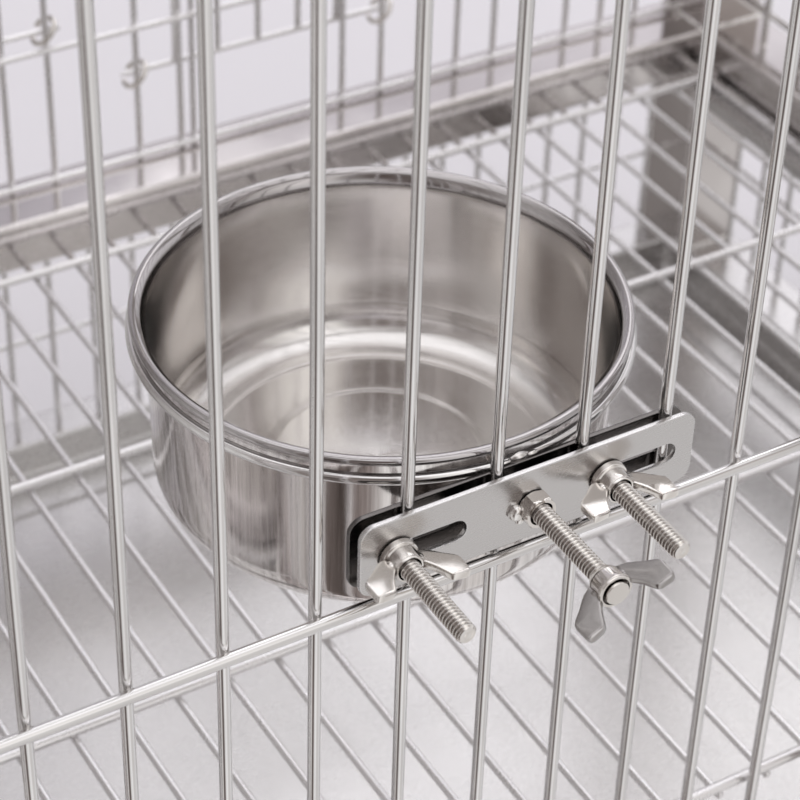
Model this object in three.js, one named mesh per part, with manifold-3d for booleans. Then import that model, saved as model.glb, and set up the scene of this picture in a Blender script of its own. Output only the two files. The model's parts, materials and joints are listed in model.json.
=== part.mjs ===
// Small stainless-steel kennel cage with a bolt-on bowl, in millimetres, +Z up.
// X runs along the front wall, Y runs from the front wall into the cage, and Z = 0 is the ground.
import * as THREE from 'three';
import { mergeVertices } from 'three/addons/utils/BufferGeometryUtils.js';
import Module from 'manifold-3d';

const wasm = await Module();
wasm.setup();

// ---------- driving dimensions ----------
const GAP = 0.3; // clearance between neighbouring pieces
const CAGE_WIDTH = 700;
const POST = 38; // side of the square corner posts and width of the rails
const RAIL_HEIGHT = 25;
const TUBE_WALL = 1.5;
const REAR_INNER_Y = 430; // inner face of the rear rails; the front rods stand at y = 0
const FOOT_HEIGHT = 25;
const CAGE_HEIGHT = 650;
const FLOOR_RAIL_TOP = 190; // side and rear rails at floor level
const FRONT_RAIL_TOP = 115; // lower, with the tray's front plate under it

const WIRE = 4; // diameter of the main rods
const THIN_WIRE = 3;
const ROD_PITCH = 30;
const FIRST_ROD_X = -278;
const FIXED_ROD_COUNT = 11;
const BOWL_WIRE_Z = 335; // the horizontal wire just under the bowl's clamp
const FRONT_WIRE_LEVELS = [128, BOWL_WIRE_Z, 573, 611];

const FLOOR_PITCH = 21.125;
const FLOOR_WIRE_COUNT = 30;
const FLOOR_CROSS_Z = 172.5;
const FLOOR_CROSS_FIRST_Y = 5;
const FLOOR_CROSS_PITCH = 136.625;
const FLOOR_CROSS_COUNT = 4;

const SIDE_WIRE_LEVELS = [205, 408, 611];
const ROOF_WIRE_YS = [145, 304];
const LEDGE = { front: 25, rear: 425, sheet: 2, width: 14, drop: 18, runner: 20 };

const REAR_PANEL_Y = 458;
const REAR_PITCH = 22;
const REAR_UPRIGHTS_EACH_SIDE = 13;
const REAR_FULL_LEVELS = [192.6, 378, 611];
const REAR_BROKEN_LEVELS = [260.6, 345]; // these wires stop at the flap's opening
const REAR_OPENING = { left: 28.6, right: 110 };
const SHORT_ROD = { to: -36, z: 267.5 }; // a rod welded outside the rear uprights, on the left
const SKIRT_PITCH = 22;

const JAMB = { x: 54, y: -4, width: 12, depth: 12 };
const DOOR = { left: 64, right: 307, bottom: 123, top: 617, y: -2, rod: 8 };
const DOOR_UPRIGHTS = 7;
const DOOR_WIRE_LEVELS = [231, BOWL_WIRE_Z, 441, 546];
const FRONT_LATCH_Z = 400;
const HINGE = { x: 314, y: -24, knuckle: 4.5, pin: 2.4, levels: [255, 525] };

// A small flap outside the rear wall. It turns on its own bottom rod, which two ring clips hold.
const REAR_FLAP = { left: 22.8, right: 109.4, top: 370, y: 462.4, rod: 4, uprights: 3, levels: [254, 300] };
const REAR_PIN = { from: -7, to: 140, z: 233.8 };
const REAR_LATCH_Z = 345;
const RING_CLIP = { radius: 6.6, wire: 1.25, places: [[0, 460.2, 233.8], [132, 460.2, 233.8], [-44, 459.9, 268.2]] };

const LATCH = {
  plateLength: 70,
  plateHalf: 15,
  sheet: 2,
  guides: [-20, -64],
  guideLength: 10,
  guideHalf: 7,
  keeperStart: 4.3,
  keeperEnd: 16,
  keeperHalf: 9,
  boltRadius: 4,
  boltY: 12, // how far the bolt's axis stands off the door
  boltFrom: -76,
  boltTo: -4,
  knobX: -44,
};

const TRAY = { halfWidth: 300, front: 20, rear: 424, bottom: 50.3, height: 20, sheet: 1.5 };
const TRAY_FRONT = { halfWidth: 308, bottom: 51, top: 88, y: 16, slotHalfWidth: 48, slotHalfHeight: 9 };

const CLAMP_X = -87.5; // middle of the clamp plates
const CLAMP_Z = 351.8;
const BOWL = {
  x: -87,
  y: 85.5,
  rimRadius: 79.9,
  rimZ: 368.8,
  rimWidth: 3.2,
  rimHeight: 3.0,
  wallTop: 75,
  wallBottom: 74,
  corner: 9,
  bottomZ: 302.5,
  discRadius: 34,
  discLift: 2,
  sheet: 0.9,
};
const RING_HOLDER = { radius: 78.8, wire: 2.1, z: 361.2 };
const PLATE = { width: 116.5, height: 26, sheet: 1.9, corner: 5 };
const SLOT = { near: 22.6, far: 51.7, height: 7.4, screwHole: 3.75 };
const BOLT = { radius: 3.3, offsets: [-46.2, 26.5], tipY: -43, nutTurns: [0.09, 0.06] };
const NUT_HUB = { seat: 6, end: 4.8 }; // radius of a wing nut's hub at its two ends
const SCREW = { innerY: 9.5, outerY: -49, wingSeatY: -40.5, wingTurn: -0.43, hub: { seat: 4.9, end: 5.7 } };

const OUTER_X = CAGE_WIDTH / 2;
const INNER_X = OUTER_X - POST;
const FRONT_INNER_Y = POST / 2;
const OUTER_FRONT_Y = -POST / 2;
const OUTER_REAR_Y = REAR_INNER_Y + POST;
const BASE_TOP = FOOT_HEIGHT + RAIL_HEIGHT;
const TOP_FRAME_BOTTOM = CAGE_HEIGHT - RAIL_HEIGHT;
const MID_Y = (OUTER_FRONT_Y + OUTER_REAR_Y) / 2;

// ---------- materials ----------
const steel = (color, roughness) => new THREE.MeshStandardMaterial({ color, roughness, metalness: 1 });
const POLISHED = steel(0xd9d8da, 0.12);
const WIRE_STEEL = steel(0xcfcccd, 0.25);
const SATIN = steel(0xb9b6b3, 0.38);
const FASTENER = steel(0xc8c4bd, 0.22);
const RUBBER = new THREE.MeshStandardMaterial({ color: 0x24252a, roughness: 0.8, metalness: 0 });

// ---------- solids ----------
function solid(geometry) {
  const plain = geometry.clone();
  plain.deleteAttribute('normal');
  plain.deleteAttribute('uv');
  const merged = mergeVertices(plain);
  return new wasm.Manifold(new wasm.Mesh({
    numProp: 3,
    vertProperties: new Float32Array(merged.attributes.position.array),
    triVerts: new Uint32Array(merged.index.array),
  }));
}

function toGeometry(manifold) {
  const mesh = manifold.getMesh();
  const geometry = new THREE.BufferGeometry();
  geometry.setAttribute('position', new THREE.BufferAttribute(mesh.vertProperties, 3));
  geometry.setIndex(new THREE.BufferAttribute(mesh.triVerts, 1));
  const flat = geometry.toNonIndexed();
  flat.computeVertexNormals();
  return flat;
}

function join(geometries) {
  return toGeometry(geometries.map(solid).reduce((whole, piece) => whole.add(piece)));
}

function cut(geometry, tools) {
  return toGeometry(tools.map(solid).reduce((whole, tool) => whole.subtract(tool), solid(geometry)));
}

function block(x0, x1, y0, y1, z0, z1) {
  const geometry = new THREE.BoxGeometry(x1 - x0, y1 - y0, z1 - z0);
  return geometry.translate((x0 + x1) / 2, (y0 + y1) / 2, (z0 + z1) / 2);
}

// A round bar between two values of one axis, centred on the point `at`.
function bar(axis, radius, from, to, at, sides = 16) {
  const geometry = new THREE.CylinderGeometry(radius, radius, to - from, sides);
  if (axis === 'x') geometry.rotateZ(-Math.PI / 2);
  if (axis === 'z') geometry.rotateX(Math.PI / 2);
  const centre = new THREE.Vector3(...at);
  centre[axis] = (from + to) / 2;
  return geometry.translate(centre.x, centre.y, centre.z);
}

function roundedRectangle(halfWidth, halfHeight, radius, Kind = THREE.Shape) {
  const shape = new Kind();
  shape.moveTo(-halfWidth + radius, -halfHeight);
  shape.lineTo(halfWidth - radius, -halfHeight);
  shape.absarc(halfWidth - radius, -halfHeight + radius, radius, -Math.PI / 2, 0);
  shape.lineTo(halfWidth, halfHeight - radius);
  shape.absarc(halfWidth - radius, halfHeight - radius, radius, 0, Math.PI / 2);
  shape.lineTo(-halfWidth + radius, halfHeight);
  shape.absarc(-halfWidth + radius, halfHeight - radius, radius, Math.PI / 2, Math.PI);
  shape.lineTo(-halfWidth, -halfHeight + radius);
  shape.absarc(-halfWidth + radius, -halfHeight + radius, radius, Math.PI, 1.5 * Math.PI);
  return shape;
}

function extrude(shape, depth, curveSegments = 2) {
  return new THREE.ExtrudeGeometry(shape, { depth, curveSegments, bevelEnabled: false });
}

// ---------- wire panels ----------
// A six-sided wire in the panel's own plane. Its two flats face along the panel's normal, so crossing
// wires meet flat on flat, as they do where they are spot-welded.
function panelWire(along, diameter, from, to, at, layerZ) {
  const half = diameter / 2;
  const flat = half / Math.sqrt(3);
  const section = new THREE.Shape();
  section.moveTo(flat, half);
  section.lineTo(-flat, half);
  section.lineTo(-2 * flat, 0);
  section.lineTo(-flat, -half);
  section.lineTo(flat, -half);
  section.lineTo(2 * flat, 0);
  section.closePath();
  const geometry = extrude(section, to - from);
  const turn = new THREE.Matrix4();
  const [X, Y, Z] = [new THREE.Vector3(1, 0, 0), new THREE.Vector3(0, 1, 0), new THREE.Vector3(0, 0, 1)];
  if (along === 'x') turn.makeBasis(Y, Z, X);
  else turn.makeBasis(X.negate(), Z, Y);
  geometry.applyMatrix4(turn);
  return along === 'x' ? geometry.translate(from, at, layerZ) : geometry.translate(at, from, layerZ);
}

// uprights: [{ at, from, to }], crossers: the same along the panel's x. side is +1 or -1, the face that
// the crossing wires are welded to. extra holds further solids, such as a door's rod frame.
function wirePanel({ uprights, crossers, upright = WIRE, crosser = WIRE, side = 1, extra = [] }) {
  const layer = side * (upright + crosser) / 2;
  const wires = uprights.map((w) => panelWire('y', upright, w.from, w.to, w.at, 0));
  crossers.forEach((w) => wires.push(panelWire('x', crosser, w.from, w.to, w.at, layer)));
  return join([...extra, ...wires]);
}

const spread = (count, pitch, from, to) => Array.from({ length: count }, (_, i) => (
  { at: (i - (count - 1) / 2) * pitch, from, to }
));
const levels = (list, from, to) => list.map((at) => ({ at, from, to }));

// A rectangular frame of chamfered rod with rounded corners, lying in the panel's plane.
function rodFrame({ left, right, bottom, top, rod }) {
  const chamfer = rod / 4;
  const halfWidth = (right - left) / 2;
  const halfHeight = (top - bottom) / 2;
  const shape = roundedRectangle(halfWidth - chamfer, halfHeight - chamfer, 2 * rod - chamfer);
  const inner = rod - chamfer;
  shape.holes.push(roundedRectangle(halfWidth - inner, halfHeight - inner, 2 * rod - inner, THREE.Path));
  const geometry = new THREE.ExtrudeGeometry(shape, {
    depth: rod - 2 * chamfer,
    curveSegments: 3,
    bevelThickness: chamfer,
    bevelSize: chamfer,
    bevelSegments: 1,
  });
  return geometry.translate((left + right) / 2, (bottom + top) / 2, chamfer - rod / 2);
}

// ---------- the scene graph ----------
const cage = new THREE.Group();

function add(name, geometry, material, parent = cage) {
  const mesh = new THREE.Mesh(geometry, material);
  mesh.name = name;
  parent.add(mesh);
  return mesh;
}

// Stands a panel up that was drawn in its own x-y plane. Its x axis turns to `along`, its y axis turns
// up, and its normal turns to along x up, which is -Y for a panel along +X.
function standPanel(mesh, x, y, along = new THREE.Vector3(1, 0, 0)) {
  const up = new THREE.Vector3(0, 0, 1);
  const normal = along.clone().cross(up);
  mesh.quaternion.setFromRotationMatrix(new THREE.Matrix4().makeBasis(along, up, normal));
  mesh.position.set(x, y, 0);
  return mesh;
}

// ---------- tube frame ----------
function tube(width, depth, length, wall = TUBE_WALL, corner = 2.5) {
  const shape = roundedRectangle(width / 2, depth / 2, corner);
  shape.holes.push(roundedRectangle(width / 2 - wall, depth / 2 - wall, corner - wall / 2, THREE.Path));
  return extrude(shape, length, 1);
}

// A welded ring of rectangular tube. One small drain hole opens the hollow to the outside.
function ringFrame(bottom) {
  const ring = (inset, height) => {
    const halfX = OUTER_X - inset;
    const halfY = (OUTER_REAR_Y - OUTER_FRONT_Y) / 2 - inset;
    const bore = POST - 2 * inset;
    const shape = roundedRectangle(halfX, halfY, 3);
    shape.holes.push(roundedRectangle(halfX - bore, halfY - bore, 1, THREE.Path));
    return extrude(shape, height, 1).translate(0, MID_Y, bottom + inset);
  };
  const drain = bar('z', 3, bottom - 5, bottom + 5, [0, OUTER_REAR_Y - POST / 2, 0], 8);
  const hollow = ring(TUBE_WALL, RAIL_HEIGHT - 2 * TUBE_WALL);
  return cut(ring(0, RAIL_HEIGHT), [hollow, drain]);
}

function addFrame() {
  add('base_frame', ringFrame(FOOT_HEIGHT), POLISHED);
  add('top_frame', ringFrame(TOP_FRAME_BOTTOM), POLISHED);
  const railLength = 2 * (INNER_X - GAP);
  const sideLength = REAR_INNER_Y - FRONT_INNER_Y - 2 * GAP;
  for (const [side, sign] of [['left', -1], ['right', 1]]) {
    for (const [end, y] of [['front', 0], ['rear', REAR_INNER_Y + POST / 2]]) {
      const x = sign * (OUTER_X - POST / 2);
      const post = add(`${end}_${side}_post`, tube(POST, POST, TOP_FRAME_BOTTOM - BASE_TOP - 2 * GAP), POLISHED);
      post.position.set(x, y, BASE_TOP + GAP);
      addFoot(`${end}_${side}_foot`, x, y);
    }
    const rail = add(`floor_${side}_rail`, tube(POST, RAIL_HEIGHT, sideLength), POLISHED);
    rail.rotation.x = -Math.PI / 2;
    rail.position.set(sign * (OUTER_X - POST / 2), FRONT_INNER_Y + GAP, FLOOR_RAIL_TOP - RAIL_HEIGHT / 2);
    addLedges(side, sign);
  }
  for (const [end, y, top] of [
    ['front', 0, FRONT_RAIL_TOP],
    ['rear', REAR_INNER_Y + POST / 2, FLOOR_RAIL_TOP],
  ]) {
    const rail = add(`floor_${end}_rail`, tube(RAIL_HEIGHT, POST, railLength), POLISHED);
    rail.rotation.y = Math.PI / 2;
    rail.position.set(-railLength / 2, y, top - RAIL_HEIGHT / 2);
  }
}

function addFoot(name, x, y) {
  const profile = [[0, 0], [14, 0], [16, 18], [18, FOOT_HEIGHT - GAP], [0, FOOT_HEIGHT - GAP]];
  const points = profile.map(([r, z]) => new THREE.Vector2(r, z));
  const foot = add(name, new THREE.LatheGeometry(points, 16).rotateX(Math.PI / 2), RUBBER);
  foot.position.set(x, y, 0);
}

// Two angle bars on each side: the upper one carries the floor grid and the lower one guides the tray.
function addLedges(side, sign) {
  const { front, rear, sheet, width, runner } = LEDGE;
  const angle = (inner, flange, drop, top) => {
    const shape = new THREE.Shape();
    shape.moveTo(0, 0);
    shape.lineTo(-flange, 0);
    shape.lineTo(-flange, -sheet);
    shape.lineTo(-sheet, -sheet);
    shape.lineTo(-sheet, -drop);
    shape.lineTo(0, -drop);
    shape.closePath();
    const geometry = extrude(shape, rear - front).rotateX(Math.PI / 2).translate(inner, rear, top);
    return sign > 0 ? geometry : geometry.rotateZ(Math.PI).translate(0, front + rear, 0);
  };
  const ledgeTop = FLOOR_CROSS_Z - WIRE / 2 - THIN_WIRE - GAP;
  add(`floor_ledge_${side}`, angle(INNER_X - GAP, width, LEDGE.drop, ledgeTop), SATIN);
  add(`tray_runner_${side}`, angle(INNER_X - GAP, runner, runner, BASE_TOP), SATIN);
}

// ---------- wire walls, roof and floor ----------
function addWalls() {
  const bottom = FRONT_RAIL_TOP + GAP;
  const top = TOP_FRAME_BOTTOM - GAP;
  const frontRods = Array.from({ length: FIXED_ROD_COUNT }, (_, i) => (
    { at: FIRST_ROD_X + i * ROD_PITCH, from: bottom, to: top }
  ));
  const frontWires = levels(FRONT_WIRE_LEVELS, -INNER_X + GAP, JAMB.x - JAMB.width / 2 - GAP);
  standPanel(add('front_panel', wirePanel({ uprights: frontRods, crossers: frontWires }), WIRE_STEEL), 0, 0);

  const sideBottom = FLOOR_RAIL_TOP + GAP;
  const sideHalf = (REAR_INNER_Y - FRONT_INNER_Y) / 2 - GAP;
  const sideCentre = (REAR_INNER_Y + FRONT_INNER_Y) / 2;
  const skirtBottom = BASE_TOP + GAP;
  const skirtTop = FLOOR_RAIL_TOP - RAIL_HEIGHT - GAP;
  const skirtMiddle = (skirtBottom + skirtTop) / 2;
  for (const [side, sign] of [['left', -1], ['right', 1]]) {
    const wall = wirePanel({
      uprights: spread(13, ROD_PITCH, sideBottom, top),
      crossers: levels(SIDE_WIRE_LEVELS, -sideHalf, sideHalf),
    });
    const skirt = wirePanel({
      uprights: spread(18, SKIRT_PITCH, skirtBottom, skirtTop),
      crossers: levels([skirtMiddle], -sideHalf, sideHalf),
      upright: THIN_WIRE,
      crosser: THIN_WIRE,
    });
    for (const [name, geometry] of [[`${side}_panel`, wall], [`${side}_skirt`, skirt]]) {
      const mesh = add(name, geometry, WIRE_STEEL);
      standPanel(mesh, sign * (OUTER_X - POST / 2), sideCentre, new THREE.Vector3(0, sign, 0));
    }
  }

  const rearSkirt = add('rear_skirt', wirePanel({
    uprights: spread(28, SKIRT_PITCH, skirtBottom, skirtTop),
    crossers: levels([skirtMiddle], -INNER_X + GAP, INNER_X - GAP),
    upright: THIN_WIRE,
    crosser: THIN_WIRE,
    side: -1,
  }), WIRE_STEEL);
  standPanel(rearSkirt, 0, REAR_INNER_Y + POST / 2);

  const roof = add('roof_panel', wirePanel({
    uprights: spread(20, ROD_PITCH, FRONT_INNER_Y + GAP, REAR_INNER_Y - GAP),
    crossers: levels(ROOF_WIRE_YS, -INNER_X + GAP, INNER_X - GAP),
  }), WIRE_STEEL);
  roof.position.z = CAGE_HEIGHT - RAIL_HEIGHT / 2;

  const crossYs = Array.from({ length: FLOOR_CROSS_COUNT }, (_, i) => FLOOR_CROSS_FIRST_Y + i * FLOOR_CROSS_PITCH);
  const floor = add('floor_grid', wirePanel({
    uprights: spread(FLOOR_WIRE_COUNT, FLOOR_PITCH, FLOOR_CROSS_FIRST_Y - 2, REAR_INNER_Y - GAP),
    crossers: levels(crossYs, -INNER_X + 1, INNER_X - 1),
    upright: THIN_WIRE,
  }), WIRE_STEEL);
  floor.position.z = FLOOR_CROSS_Z - (WIRE + THIN_WIRE) / 2;
}

function addRearWall() {
  const bottom = FLOOR_RAIL_TOP + GAP;
  const top = TOP_FRAME_BOTTOM - GAP;
  const openingTop = REAR_FULL_LEVELS[1];
  const uprights = [{ at: REAR_OPENING.left, from: bottom, to: openingTop + 1 }];
  for (let k = -REAR_UPRIGHTS_EACH_SIDE; k <= REAR_UPRIGHTS_EACH_SIDE; k += 1) {
    const at = k * REAR_PITCH;
    const inOpening = at > REAR_OPENING.left && at < REAR_OPENING.right;
    uprights.push({ at, from: inOpening ? openingTop - 1 : bottom, to: top });
  }
  const crossers = levels(REAR_FULL_LEVELS, -INNER_X + GAP, INNER_X - GAP);
  crossers.push(...levels(REAR_BROKEN_LEVELS, -INNER_X + GAP, REAR_OPENING.left + 1));
  crossers.push(...levels(REAR_BROKEN_LEVELS, REAR_OPENING.right - 1, INNER_X - GAP));
  const shortRod = panelWire('x', THIN_WIRE, -INNER_X + GAP, SHORT_ROD.to, SHORT_ROD.z, -THIN_WIRE);
  const rear = wirePanel({ uprights, crossers, upright: THIN_WIRE, crosser: THIN_WIRE, extra: [shortRod] });
  standPanel(add('rear_panel', rear, WIRE_STEEL), 0, REAR_PANEL_Y);
  addRearFlap();

  RING_CLIP.places.forEach(([x, y, z], i) => {
    const mouth = 0.35; // half of the angle that the C-shaped clip leaves open
    const arc = new RingArc(RING_CLIP.radius, -0.6 + mouth, -0.6 + 2 * Math.PI - mouth);
    const clip = add(`ring_clip_${i + 1}`, sweptArc(arc, RING_CLIP.wire, 14, 6), FASTENER);
    clip.position.set(x, y, z);
    clip.rotation.y = Math.PI / 4; // tilted, so that it goes round an upright and a rod that cross
  });
}

function addRearFlap() {
  const { left, right, top, y, rod, uprights, levels: heights } = REAR_FLAP;
  const pitch = (right - left) / (uprights + 1);
  const inner = spread(uprights, pitch, REAR_PIN.z, top);
  inner.forEach((wire) => { wire.at += (left + right) / 2; });
  const flap = wirePanel({
    uprights: inner,
    crossers: levels(heights, left, right),
    upright: THIN_WIRE,
    crosser: THIN_WIRE,
    side: -1,
    extra: [
      panelWire('y', rod, REAR_PIN.z - 1, top, left, 0),
      panelWire('y', rod, REAR_PIN.z - 1, top, right, 0),
      panelWire('x', rod, left - rod / 2, right + rod / 2, top, 0),
      panelWire('x', THIN_WIRE, REAR_PIN.from, REAR_PIN.to, REAR_PIN.z, 0),
    ],
  });
  standPanel(add('rear_door', flap, WIRE_STEEL), 0, y);
  const outerFace = y + rod / 2;
  const wireFace = REAR_PANEL_Y - THIN_WIRE / 2;
  addLatch('rear', new THREE.Vector3(right + rod / 2, outerFace, REAR_LATCH_Z), 0, wireFace - outerFace + GAP);
}

// A circular arc in the plane x = 0, used as an extrusion path.
class RingArc extends THREE.Curve {
  constructor(radius, start, end) {
    super();
    this.radius = radius;
    this.start = start;
    this.end = end;
  }

  getPoint(t) {
    const angle = this.start + (this.end - this.start) * t;
    return new THREE.Vector3(0, this.radius * Math.cos(angle), this.radius * Math.sin(angle));
  }
}

function sweptArc(path, radius, steps, sides) {
  const section = new THREE.Shape();
  section.absarc(0, 0, radius, 0, 2 * Math.PI);
  return new THREE.ExtrudeGeometry(section, { steps, curveSegments: sides / 2, extrudePath: path });
}

// ---------- front door ----------
function addFrontDoor() {
  const height = TOP_FRAME_BOTTOM - FRONT_RAIL_TOP - 2 * GAP;
  const jamb = add('door_jamb', tube(JAMB.width, JAMB.depth, height, 1.2, 2), POLISHED);
  jamb.position.set(JAMB.x, JAMB.y, FRONT_RAIL_TOP + GAP);

  const pitch = (DOOR.right - DOOR.left - DOOR.rod) / (DOOR_UPRIGHTS + 1);
  const centre = (DOOR.left + DOOR.right) / 2;
  const uprights = spread(DOOR_UPRIGHTS, pitch, DOOR.bottom + 4, DOOR.top - 4);
  uprights.forEach((rod) => { rod.at += centre; });
  const door = wirePanel({
    uprights,
    crossers: levels(DOOR_WIRE_LEVELS, DOOR.left + 4, DOOR.right - 4),
    extra: [rodFrame(DOOR)],
  });
  standPanel(add('front_door', door, WIRE_STEEL), 0, DOOR.y);

  ['lower', 'upper'].forEach((level, i) => addHinge(level, HINGE.levels[i]));
  const outerFace = DOOR.y - DOOR.rod / 2;
  const jambFace = JAMB.y - JAMB.depth / 2;
  addLatch('front', new THREE.Vector3(DOOR.left, outerFace, FRONT_LATCH_Z), Math.PI, outerFace - jambFace + GAP);
}

function addHinge(level, z) {
  const { x, y, knuckle, pin } = HINGE;
  const eyeHalf = 7;
  const earEnd = 17;
  const bore = bar('z', pin + GAP, z - earEnd - 1, z + earEnd + 1, [x, y, 0]);
  const plate = block(x + 5, x + 32, OUTER_FRONT_Y - GAP - 2, OUTER_FRONT_Y - GAP, z - 20, z + 20);
  const ears = [-1, 1].map((sign) => {
    const inner = eyeHalf + GAP;
    const [from, to] = sign < 0 ? [z - earEnd, z - inner] : [z + inner, z + earEnd];
    return join([
      bar('z', knuckle, from, to, [x, y, 0]),
      block(x, x + 6, y - 1, OUTER_FRONT_Y - GAP, from, to),
    ]);
  });
  add(`hinge_bracket_${level}`, cut(join([plate, ...ears]), [bore]), SATIN);
  add(`hinge_pin_${level}`, bar('z', pin, z - earEnd - 2, z + earEnd + 2, [x, y, 0]), FASTENER);
  const arm = block(DOOR.right - 7, x - 1, y, DOOR.y - DOOR.rod / 2 - GAP, z - eyeHalf, z + eyeHalf);
  const keepClear = block(x - 2.5, x + 5, y + knuckle - 0.2, y + 30, z - 8, z + 8);
  const eye = join([bar('z', knuckle, z - eyeHalf, z + eyeHalf, [x, y, 0]), arm]);
  add(`door_hinge_eye_${level}`, cut(eye, [bore, keepClear]), SATIN);
}

// A slide latch: a plate with two guides on the door, a round bolt with a knob, and a keeper beside the
// door. It is drawn with the bolt moving along +x and the outside of the door along +y.
function addLatch(end, origin, turn, keeperBase) {
  const group = new THREE.Group();
  group.position.copy(origin);
  group.rotation.z = turn;
  cage.add(group);
  const { plateLength, plateHalf, sheet, guides: guideStarts, guideLength, guideHalf } = LATCH;
  const { keeperStart, keeperEnd, keeperHalf, boltRadius, boltY, boltFrom, boltTo, knobX } = LATCH;
  const outer = boltY + boltRadius + 3;
  const bore = bar('x', boltRadius + GAP, boltFrom - 4, keeperEnd + 4, [0, boltY, 0]);
  const plate = block(-1 - plateLength, -1, GAP, sheet + GAP, -plateHalf, plateHalf);
  const guides = guideStarts.map((x) => block(x, x + guideLength, 1, outer, -guideHalf, guideHalf));
  add(`${end}_latch_plate`, cut(join([plate, ...guides]), [bore]), SATIN, group);
  const keeper = block(keeperStart, keeperEnd, keeperBase, outer, -keeperHalf, keeperHalf);
  add(`${end}_latch_keeper`, cut(keeper, [bore]), SATIN, group);
  const rod = bar('x', boltRadius, boltFrom, boltTo, [0, boltY, 0]);
  const stem = bar('y', 2.5, boltY, boltY + 18, [knobX, 0, 0], 12);
  const knob = new THREE.SphereGeometry(6.5, 12, 8).translate(knobX, boltY + 20, 0);
  add(`${end}_latch_bolt`, join([rod, stem, knob]), FASTENER, group);
}

// ---------- tray ----------
function addTray() {
  const { halfWidth, front, rear, bottom, height, sheet } = TRAY;
  const outside = block(-halfWidth, halfWidth, front, rear, bottom, bottom + height);
  const inside = block(-halfWidth + sheet, halfWidth - sheet, front + sheet, rear - sheet,
    bottom + sheet, bottom + height + 1);
  add('tray', cut(outside, [inside]), SATIN);

  const plateHeight = TRAY_FRONT.top - TRAY_FRONT.bottom;
  const middle = (TRAY_FRONT.top + TRAY_FRONT.bottom) / 2;
  const shape = roundedRectangle(TRAY_FRONT.halfWidth, plateHeight / 2, 4);
  const { slotHalfWidth, slotHalfHeight } = TRAY_FRONT;
  const handSlot = roundedRectangle(slotHalfWidth, slotHalfHeight, slotHalfHeight - 0.1, THREE.Path);
  shape.holes.push(handSlot);
  const plate = extrude(shape, 2).rotateX(Math.PI / 2).translate(0, TRAY_FRONT.y + 2, middle);
  const lip = block(-300, 300, TRAY_FRONT.y - 9, TRAY_FRONT.y + 1, TRAY_FRONT.top - 8, TRAY_FRONT.top - 6);
  add('tray_front', join([plate, lip]), SATIN);
}

// ---------- bowl and its clamp ----------
function addBowl() {
  const { rimRadius, rimZ, rimWidth, rimHeight, wallTop, wallBottom, corner, bottomZ, sheet } = BOWL;
  const { discRadius, discLift } = BOWL;
  const rimMiddleZ = rimZ - rimHeight / 2;
  const rimBottomZ = rimZ - rimHeight;
  const outline = new THREE.Path();
  outline.moveTo(0, bottomZ + discLift);
  outline.lineTo(discRadius, bottomZ + discLift);
  outline.lineTo(discRadius + 3, bottomZ);
  outline.lineTo(wallBottom - corner, bottomZ);
  outline.absarc(wallBottom - corner, bottomZ + corner, corner, -Math.PI / 2, 0);
  outline.lineTo(wallTop, rimBottomZ - 0.6);
  outline.absellipse(rimRadius - rimWidth / 2, rimMiddleZ, rimWidth / 2, rimHeight / 2, -2.2, 2.4, false, 0);
  outline.lineTo(wallTop - sheet, rimBottomZ);
  outline.lineTo(wallBottom - sheet, bottomZ + corner);
  outline.absarc(wallBottom - corner, bottomZ + corner, corner - sheet, 0, -Math.PI / 2, true);
  outline.lineTo(discRadius + 3.5, bottomZ + sheet);
  outline.lineTo(discRadius, bottomZ + discLift + sheet);
  outline.lineTo(0, bottomZ + discLift + sheet);
  const points = outline.getPoints(2).filter((p, i, all) => i === 0 || p.distanceTo(all[i - 1]) > 0.01);
  const bowl = add('bowl', new THREE.LatheGeometry(points, 36).rotateX(Math.PI / 2), SATIN);
  bowl.position.set(BOWL.x, BOWL.y, 0);

  const ring = new THREE.TorusGeometry(RING_HOLDER.radius, RING_HOLDER.wire, 6, 36);
  add('ring_holder', ring, POLISHED).position.set(BOWL.x, BOWL.y, RING_HOLDER.z);
}

// A plate with a slot near each end and a hole for the clamp screw, all `lift` above its own middle.
function clampPlate(lift) {
  const shape = roundedRectangle(PLATE.width / 2, PLATE.height / 2, PLATE.corner);
  const screwHole = new THREE.Path(new THREE.Path().absarc(0, lift, SLOT.screwHole, 0, 2 * Math.PI).getPoints(12));
  shape.holes.push(...boltSlots(lift), screwHole);
  return extrude(shape, PLATE.sheet).rotateX(Math.PI / 2);
}

function boltSlots(lift) {
  const halfLength = (SLOT.far - SLOT.near) / 2;
  return [-1, 1].map((sign) => {
    const slot = roundedRectangle(halfLength, SLOT.height / 2, SLOT.height / 2 - 0.05, THREE.Path);
    const centre = sign * (SLOT.near + SLOT.far) / 2;
    const moved = slot.getPoints(3).map((p) => new THREE.Vector2(p.x + centre, p.y + lift));
    return new THREE.Path(moved);
  });
}

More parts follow.
